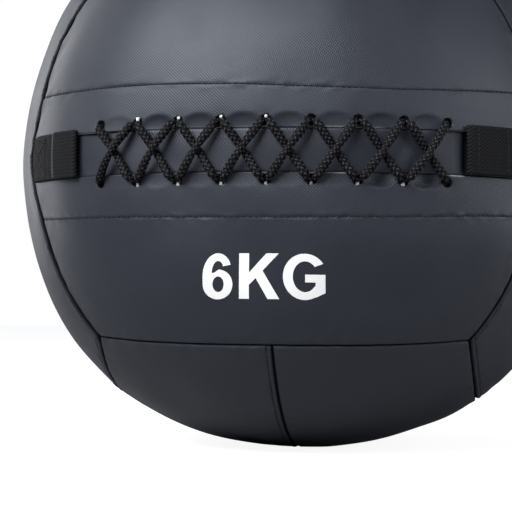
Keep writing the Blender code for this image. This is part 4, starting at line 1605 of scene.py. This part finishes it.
class Palette:
    """A material's node tree, with one method that adds any node."""

    def __init__(self, name: str) -> None:
        """Start a material with its shader."""
        self.material = bpy.data.materials.new(name)
        self.material.use_nodes = True
        self.tree = self.material.node_tree
        self.shader = self.tree.nodes["Principled BSDF"]

    def node(self, kind: str, settings: dict[str, Any] | None = None,
             **sockets: Any) -> Node:
        """Add a node.

        Args:
            kind: the node's type, without its ShaderNode prefix.
            settings: its properties.
            sockets: values or links of its inputs, by their names with _ for spaces.

        Returns:
            The node.
        """
        node = self.tree.nodes.new("ShaderNode" + kind)
        for key, value in (settings or {}).items():
            setattr(node, key, value)
        for key, value in sockets.items():
            self.feed(node, key, value)
        return node

    def feed(self, node: Node, key: str, value: Any) -> None:
        """Link or set the input of a node that has this name, with _ for spaces."""
        name = key.replace("_", " ")
        self.put(next(place for place in node.inputs if place.name == name and place.enabled),
                 value)

    def put(self, place: NodeSocket, value: Any) -> None:
        """Link an input to a number or a socket, or set it."""
        value = value.socket if isinstance(value, Number) else value
        if isinstance(value, NodeSocket):
            self.tree.links.new(value, place)
        elif isinstance(value, tuple) and len(value) < len(place.default_value):
            place.default_value = (*value, 1)
        else:
            place.default_value = value

    def spot(self) -> NodeSocket:
        """Object coordinates."""
        return self.node("TexCoord").outputs["Object"]

    def parts(self, vector: NodeSocket) -> list[Number]:
        """The three numbers of a vector."""
        return [Number(self, part) for part in self.node("SeparateXYZ", Vector=vector).outputs]

    def cloth(self) -> list[Number]:
        """The piece's own coordinates along and across its cloth."""
        return self.parts(self.node("TexCoord").outputs["UV"])[:2]

    def painted(self, name: str) -> Number:
        """A value that the mesh holds at its points."""
        return Number(self, self.node("Attribute", {"attribute_name": name}).outputs["Fac"])

    def noise(self, scale: float, detail: float = 3, roughness: float = 0.55) -> Number:
        """Noise from 0 to 1 at a scale per metre."""
        return Number(self, self.node("TexNoise", Vector=self.spot(), Scale=scale,
                                      Detail=detail, Roughness=roughness).outputs[0])

    def blend(self, low: Any, high: Triple, share: Number) -> NodeSocket:
        """A colour between two others, of which the first may be a socket."""
        node = self.node("Mix", {"data_type": "RGBA"}, Factor=share)
        self.put(node.inputs[6], low)
        self.put(node.inputs[7], high)
        return node.outputs[2]

    def sink(self, share: Number) -> None:
        """Fade the surface to a black that reflects nothing: painted shade, as deep in a seam."""
        black = self.node("BsdfPrincipled", Base_Color=(0.0, 0.0, 0.0), Roughness=1.0,
                          Specular_IOR_Level=0.0)
        mixed = self.node("MixShader")
        for place, value in zip(mixed.inputs, (share, self.shader.outputs[0], black.outputs[0])):
            self.put(place, value)
        self.put(self.tree.nodes["Material Output"].inputs["Surface"], mixed.outputs[0])

    def ridge(self, height: Number, distance: float, strength: float = 1.0) -> None:
        """Feed the shader's normal from a height."""
        relief = self.node("Bump", Height=height, Distance=distance, Strength=strength)
        self.feed(self.shader, "Normal", relief.outputs[0])

    def dress(self, **sockets: Any) -> Material:
        """Set the shader's inputs and give the material."""
        for key, value in sockets.items():
            self.feed(self.shader, key, value)
        return self.material


@dataclass(frozen=True)
class CoatedFabric:
    """Black coated fabric: a fine twill grain under a soft satin coat, with painted shade in its
    seams.
    """

    name: str = "coated_fabric"
    worn: Triple = (0.021, 0.023, 0.033)
    # Pale colour of the free edge: the backing at its cut, also standing in for the highlight of
    # the lit edge.
    backing: Triple = (0.42, 0.42, 0.43)
    roughness: float = 0.46
    grain: float = 0.0165

    def make(self) -> Material:
        """Build the finish."""
        palette = Palette(self.name)
        along, across = palette.cloth()
        twill = (along + across).wave(self.grain)
        weft = (along - across * 0.3).wave(self.grain * 0.62)
        cloudy, fine = palette.noise(28, 4), palette.noise(1500, 2)
        palette.ridge(twill * (cloudy * 0.6 + 0.2) + weft * 0.25 + fine * 0.5, 0.0002, 0.7)
        shade = cloudy * 0.4 + fine * 0.15 + twill * 0.45
        crease, bare = palette.painted("crease"), palette.painted("bare_edge")
        # Painted shade: seams and stitched lines fade to a black that reflects nothing.
        palette.sink((crease ** 3) * 0.94)
        # The coat's colour also darkens in the seams as painted shade.
        coated = palette.blend((0, 0, 0), self.worn, (shade * 0.6 + 0.4) * (1 - crease * 0.97))
        return palette.dress(
            # The pale free edge: the backing at its cut, painted also as the highlight of the lit
            # cut edge.
            Base_Color=palette.blend(coated, self.backing, bare),
            Roughness=cloudy * 0.12 + twill * 0.07 + crease * 0.5 + (self.roughness - 0.06),
            Specular_IOR_Level=0.5, Specular_Tint=(0.82, 0.89, 1.0))


@dataclass(frozen=True)
class BraidedCord:
    """Black braided cord with shinier ridges, on which a grey highlight is painted."""

    name: str = "braided_cord"
    # The groove colour is the cord's black; the ridge colour is a highlight painted along the
    # plaits' tops.
    groove: Triple = (0.001, 0.001, 0.0015)
    ridge: Triple = (0.080, 0.082, 0.100)

    def make(self) -> Material:
        """Build the finish."""
        palette = Palette(self.name)
        around, along = palette.cloth()
        left, right = (around * 4 + along * 4), (around * 4 - along * 4)
        under = (left.maths("FLOOR") + right.maths("FLOOR")).maths("FLOORED_MODULO", 2.0)
        left, right = left.maths("FRACT"), right.maths("FRACT")
        across = left + under * (right - left)
        lengthwise = right + under * (left - right)
        # Painted highlight: a narrow grey streak along the top of each plait.
        plait = (across.arch() ** 12) * (lengthwise.arch() ** 0.9)
        patchy, strands = palette.noise(420, 2), palette.noise(2600, 2)
        palette.ridge(strands, 0.0002, 0.6)
        lit = plait * (strands * 0.9 + 0.2) * (patchy * 1.8)
        return palette.dress(Base_Color=palette.blend(self.groove, self.ridge, lit),
                             Roughness=0.8 - strands * 0.25, Specular_IOR_Level=0.12)


@dataclass(frozen=True)
class WovenCloth:
    """Plain woven cloth or thread: a fine over-and-under weave with uneven yarns."""

    name: str
    dark: Triple
    light: Triple
    roughness: float
    yarn: float

    def make(self) -> Material:
        """Build the finish."""
        palette = Palette(self.name)
        x, y, z = palette.parts(palette.spot())
        weave = (x + z).wave(self.yarn) * (y + z * 0.2).wave(self.yarn)
        uneven = palette.noise(300)
        palette.ridge(weave + uneven * 0.3, self.yarn * 0.2, 0.6)
        return palette.dress(
            Base_Color=palette.blend(self.dark, self.light, uneven * 0.7 + weave * 0.3),
            Roughness=uneven * 0.1 + (self.roughness - 0.05), Sheen_Weight=0.1,
            Specular_IOR_Level=0.2)


@dataclass(frozen=True)
class Webbing:
    """Black nylon webbing: herringbone ribs with a painted highlight over gaps in painted shade,
    and a highlight painted along its loose end.
    """

    name: str = "webbing_herringbone"
    # The dark colour is shade painted in the gaps, the light one a highlight painted on the ribs,
    # and the next one a highlight painted along the loose end.
    dark: Triple = (0.001, 0.001, 0.0015)
    light: Triple = (0.024, 0.025, 0.030)
    end_highlight: Triple = (0.055, 0.058, 0.066)
    rib: float = 0.019
    chevron: float = 0.054

    def make(self) -> Material:
        """Build the finish."""
        palette = Palette(self.name)
        along, across = palette.cloth()
        turned = along.maths("PINGPONG", self.chevron / 2)
        ribs = (across + turned).wave(self.rib)
        yarn = (across - turned * 2).wave(self.rib * 0.3)
        fuzz = palette.noise(1800, 2)
        palette.ridge(ribs * 0.5 + yarn * 0.4 + fuzz * 0.3, 0.0002, 0.7)
        # Painted highlight on the rib tops over painted shade in the gaps.
        woven = palette.blend(self.dark, self.light,
                              (ribs ** 1.5) * (yarn * 0.4 + 0.5) * (fuzz * 0.5 + 0.6))
        # Painted highlight along the last 1.1 mm of the loose end.
        end_highlight_mask = along.maths("GREATER_THAN", -0.011)
        return palette.dress(
            Base_Color=palette.blend(woven, self.end_highlight, end_highlight_mask * 0.85),
            Roughness=0.8 - fuzz * 0.15, Specular_IOR_Level=0.12)


@dataclass(frozen=True)
class PrintedInk:
    """White screen-printed ink over the fabric's grain."""

    name: str = "printed_ink"
    colour: Triple = (0.93, 0.93, 0.93)

    def make(self) -> Material:
        """Build the finish."""
        palette = Palette(self.name)
        blotch = palette.noise(400, 3)
        palette.ridge(palette.noise(1500, 2), 0.0001, 0.3)
        dull = tuple(part * 0.93 for part in self.colour)
        return palette.dress(Base_Color=palette.blend(dull, self.colour, blotch),
                             Roughness=blotch * 0.1 + 0.5)


@dataclass(frozen=True)
class GrainyFill:
    """Sand or packed fibre: speckled grains or tangled strands."""

    name: str
    dark: Triple
    light: Triple
    scale: float
    depth: float

    def make(self) -> Material:
        """Build the finish."""
        palette = Palette(self.name)
        grains = palette.noise(self.scale, 6, 0.7)
        palette.ridge(grains, self.depth, 0.8)
        return palette.dress(Base_Color=palette.blend(self.dark, self.light, grains),
                             Roughness=grains * 0.08 + 0.88)


@dataclass(frozen=True)
class Studio:
    """Pale floor, soft lamps and the photograph's camera."""

    centre: Vector
    offset: Triple = (0.11267, -0.91424, -0.08176)
    turn: tuple[Triple, ...] = ((0.99254515, 0.12163566, 0.00767464),
                                (-0.12183639, 0.98860486, 0.08841001),
                                (0.00316662, -0.08868598, 0.9960546))
    focal_px: float = 1479.0
    centre_px: Pair = (305.8, 169.2)
    frame_px: float = 512.0

    def add_camera(self) -> None:
        """Place the camera that the photograph's outline and seams give."""
        data = bpy.data.cameras.new("camera")
        data.sensor_width = 36.0
        data.lens = self.focal_px / self.frame_px * data.sensor_width
        along = Matrix(self.turn) @ -Vector(self.offset)
        middle = self.frame_px / 2
        seen_x = middle + self.focal_px * along.x / along.y
        seen_y = middle - self.focal_px * along.z / along.y
        data.shift_x = (seen_x - self.centre_px[0]) / self.frame_px
        data.shift_y = (self.centre_px[1] - seen_y) / self.frame_px
        data.clip_start, data.clip_end = 0.05, 50
        camera = link_object("camera", data)
        right, forward, upward = (Vector(row) for row in self.turn)
        rotation = Matrix((right, upward, -forward)).transposed().to_4x4()
        camera.matrix_world = Matrix.Translation(self.centre + Vector(self.offset)) @ rotation
        bpy.context.scene.camera = camera

    def add_lamp(self, name: str, place: Triple, size: Pair, power: float) -> None:
        """Add a soft lamp of some watts, at a place seen from the ball that it looks at."""
        data = bpy.data.lights.new(name, "AREA")
        data.shape, data.size, data.size_y = "RECTANGLE", *size
        data.energy = power
        lamp = link_object(name, data)
        lamp.location = self.centre + Vector(place)
        lamp.rotation_mode = "QUATERNION"
        lamp.rotation_quaternion = (-Vector(place)).to_track_quat("-Z", "Y")

    def add_floor(self) -> None:
        """The pale floor."""
        bpy.ops.mesh.primitive_circle_add(vertices=96, radius=4, fill_type="NGON")
        floor = bpy.context.object
        floor.name = "floor"
        palette = Palette("floor_paper")
        seen = Number(palette, palette.node("LightPath").outputs["Is Camera Ray"])
        palette.dress(Base_Color=(0.32, 0.32, 0.33), Roughness=0.95, Specular_IOR_Level=0.2,
                      Emission_Color=(1, 1, 1), Emission_Strength=seen * 0.9)
        floor.data.materials.append(palette.material)

    def set_world(self) -> None:
        """A pale backdrop for the camera over an even, plain light."""
        world = bpy.data.worlds.new("studio")
        bpy.context.scene.world = world
        world.use_nodes = True
        tree = world.node_tree
        even = tree.nodes["Background"]
        even.inputs[0].default_value = (0.72, 0.85, 1.0, 1)
        even.inputs[1].default_value = 0.15
        seen = tree.nodes.new("ShaderNodeBackground")
        seen.inputs[0].default_value = (1, 1, 1, 1)
        rays = tree.nodes.new("ShaderNodeLightPath")
        either = tree.nodes.new("ShaderNodeMixShader")
        tree.links.new(rays.outputs["Is Camera Ray"], either.inputs[0])
        tree.links.new(even.outputs[0], either.inputs[1])
        tree.links.new(seen.outputs[0], either.inputs[2])
        tree.links.new(either.outputs[0], tree.nodes["World Output"].inputs[0])

    def set_up(self) -> None:
        """Camera, floor, world and lamps."""
        self.add_camera()
        self.add_floor()
        self.set_world()
        self.add_lamp("key", (-0.85, -1.38, 1.07), (1.5, 0.8), 66)
        self.add_lamp("left_rim", (-1.35, 0.75, 0.1), (0.5, 1.8), 15)
        self.add_lamp("right_fill", (1.4, -0.6, 0.5), (0.5, 1.0), 9)
        self.add_lamp("right_rim", (1.5, 0.25, -0.08), (0.5, 1.0), 9)
        bpy.context.scene.view_settings.view_transform = "Standard"


@dataclass
class WallBall:
    """The whole ball: every sub-assembly, built in order and dressed."""

    centre: Vector
    shape: BallShape
    opening: Opening
    finishes: dict[str, Material] = field(default_factory=dict)
    panels: dict[str, CoverPanel] = field(default_factory=dict)

    sewn: ClassVar[tuple[tuple[str, Face, Half], ...]] = (
        ("back_lower_panel", Face.BACK, Half.LOWER), ("back_upper_panel", Face.BACK, Half.UPPER),
        ("bottom_left_panel", Face.BOTTOM, Half.LOWER),
        ("bottom_right_panel", Face.BOTTOM, Half.UPPER),
        ("top_left_panel", Face.TOP, Half.LOWER), ("top_right_panel", Face.TOP, Half.UPPER),
        ("left_front_panel", Face.LEFT, Half.LOWER), ("left_back_panel", Face.LEFT, Half.UPPER),
        ("right_front_panel", Face.RIGHT, Half.UPPER),
        ("right_back_panel", Face.RIGHT, Half.LOWER))
    upper_peeks: ClassVar[tuple[float, ...]] = (0, 1.0, 0.3, 1.1, 0.9, 0, 0, 0, 0)
    lower_peeks: ClassVar[tuple[float, ...]] = (0, 0.6, 0.9, 1.0, 0.9, 0.4, 1.0, 0.7, 0)

    def make_finishes(self) -> None:
        """Build every finish once."""
        self.finishes = {
            "fabric": CoatedFabric().make(),
            "cord": BraidedCord().make(),
            "webbing": Webbing().make(),
            "ink": PrintedInk().make(),
            "thread": WovenCloth("black_thread", (0.003, 0.003, 0.004), (0.009, 0.009, 0.011),
                                 0.6, 0.0004).make(),
            "backing": WovenCloth("pale_backing", (0.62, 0.61, 0.57), (0.82, 0.81, 0.77), 0.9,
                                  0.0007).make(),
            "cotton": WovenCloth("bag_cotton", (0.50, 0.46, 0.38), (0.66, 0.62, 0.54), 0.9,
                                 0.0009).make(),
            "sand": GrainyFill("dry_sand", (0.38, 0.28, 0.17), (0.66, 0.53, 0.36), 900,
                               0.0006).make(),
            "fibre": GrainyFill("packed_fibre", (0.60, 0.59, 0.56), (0.80, 0.79, 0.76), 160,
                                0.003).make()}

    def build_cover(self) -> None:
        """The twelve panels, the facings behind the opening and the weight mark."""
        for seed, (name, face, half) in enumerate(self.sewn):
            panel = CoverPanel(self.shape, self.opening, name, face, half.value, 10 + seed)
            self.add_panel(panel)
        for half, word, peeks in ((Half.LOWER, "lower", self.lower_peeks),
                                  (Half.UPPER, "upper", self.upper_peeks)):
            panel = FrontPanel(self.shape, self.opening, f"front_{word}_panel", Face.FRONT,
                               half.value, 30 + half.value)
            self.add_panel(panel)
            strip = FacingStrip(panel, f"{word}_facing_cloth", peeks)
            piece = strip.build(self.centre)
            finish_piece(piece, self.finishes["backing"],
                         [f"{word}_facing_strip"])
        mark = WeightMark(self.panels["front_lower_panel"]).build(self.centre)
        finish_piece(mark, self.finishes["ink"])

    def add_panel(self, panel: CoverPanel) -> None:
        """Build and dress one panel, and work out its cut size."""
        self.panels[panel.name] = panel
        node = panel.name
        panel.name = f"{node}_cloth"
        piece = panel.build(self.centre)
        finish_piece(piece, self.finishes["fabric"], [node])
        width, length, area = panel.cut_size()

    def build_closure(self) -> None:
        """The lace, the tongue behind it and the webbing keepers."""
        lace = Lace(self.shape, self.opening)
        finish_piece(lace.build(self.centre), self.finishes["cord"], ["lace"])
        tongue = TongueStrip(self.shape, self.opening, lace)
        strip = tongue.build(self.centre)
        finish_piece(strip, self.finishes["fabric"], ["tongue_strip"])
        left = WebbingKeeper(self.shape, "left_keeper_webbing", -1, math.radians(37.5),
                             math.radians(6.4), True, 1.1 * MM)
        right = WebbingKeeper(self.shape, "right_keeper_webbing", 1, math.radians(35.5),
                              math.radians(7.7), False, 2.0 * MM)
        for keeper, node in ((left, "left_webbing_keeper"), (right, "right_webbing_keeper")):
            finish_piece(keeper.build(self.centre), self.finishes["webbing"], [node])
        box = [((46.8, -10.3), (46.8, 10.3)), ((46.8, 10.3), (51.2, 10.3)),
               ((51.2, 10.3), (51.2, -10.3)), ((51.2, -10.3), (46.8, -10.3)),
               ((46.8, -10.3), (51.2, 10.3)), ((46.8, 10.3), (51.2, -10.3))]
        ends = [((37.2, -11.5), (37.2, 11.5)), ((43.4, -11.5), (43.4, 11.5))]
        rows = keeper_rows(left, box, 1.75 * MM) + keeper_rows(right, ends, 3.45 * MM)
        stitches = Stitching("keeper_stitches", rows, 0.24 * MM, 2.6 * MM)
        finish_piece(stitches.build(self.centre), self.finishes["thread"])

    def build_stitching(self) -> None:
        """Topstitches beside the seams, and the long lines that hold the facings."""
        panels = self.panels.values()
        seams = [seam_row(panel, key) for panel in panels for key in panel.topstitched()]
        lines = [long_row(panel) for panel in panels if panel.free]
        for name, rows in (("seam_topstitching", seams), ("opening_stitching", lines)):
            stitches = Stitching(name, rows, floor=-self.shape.foot_height)
            finish_piece(stitches.build(self.centre), self.finishes["thread"])

    def build_filling(self) -> None:
        """The packed fibre, the bag, its sand and its tie."""
        filling = Filling(self.shape)
        for name, side in (("lower_fibre_fill", -1), ("upper_fibre_fill", 1)):
            piece = filling.build_fibre(f"{name}_wad", side, self.centre)
            finish_piece(piece, self.finishes["fibre"], [name])
        for piece, finish, slot, node in (
                (filling.build_bag(self.centre), "cotton", "bag_cotton", "sand_bag"),
                (filling.build_sand(self.centre), "sand", "sand", "sand_fill"),
                (filling.build_tie(self.centre), "thread", "lace_cord", "bag_tie")):
            finish_piece(piece, self.finishes[finish], [node])


def main() -> None:
    """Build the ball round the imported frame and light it."""
    logging.basicConfig(level=logging.INFO, format="%(name)s: %(message)s")
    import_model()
    shape = BallShape()
    centre = Vector((0, 0, shape.foot_height))
    Studio(centre).set_up()
    ball = WallBall(centre, shape, Opening(shape))
    ball.make_finishes()
    ball.build_closure()
    ball.build_cover()
    ball.build_stitching()
    ball.build_filling()


if __name__ == "__main__":
    main()
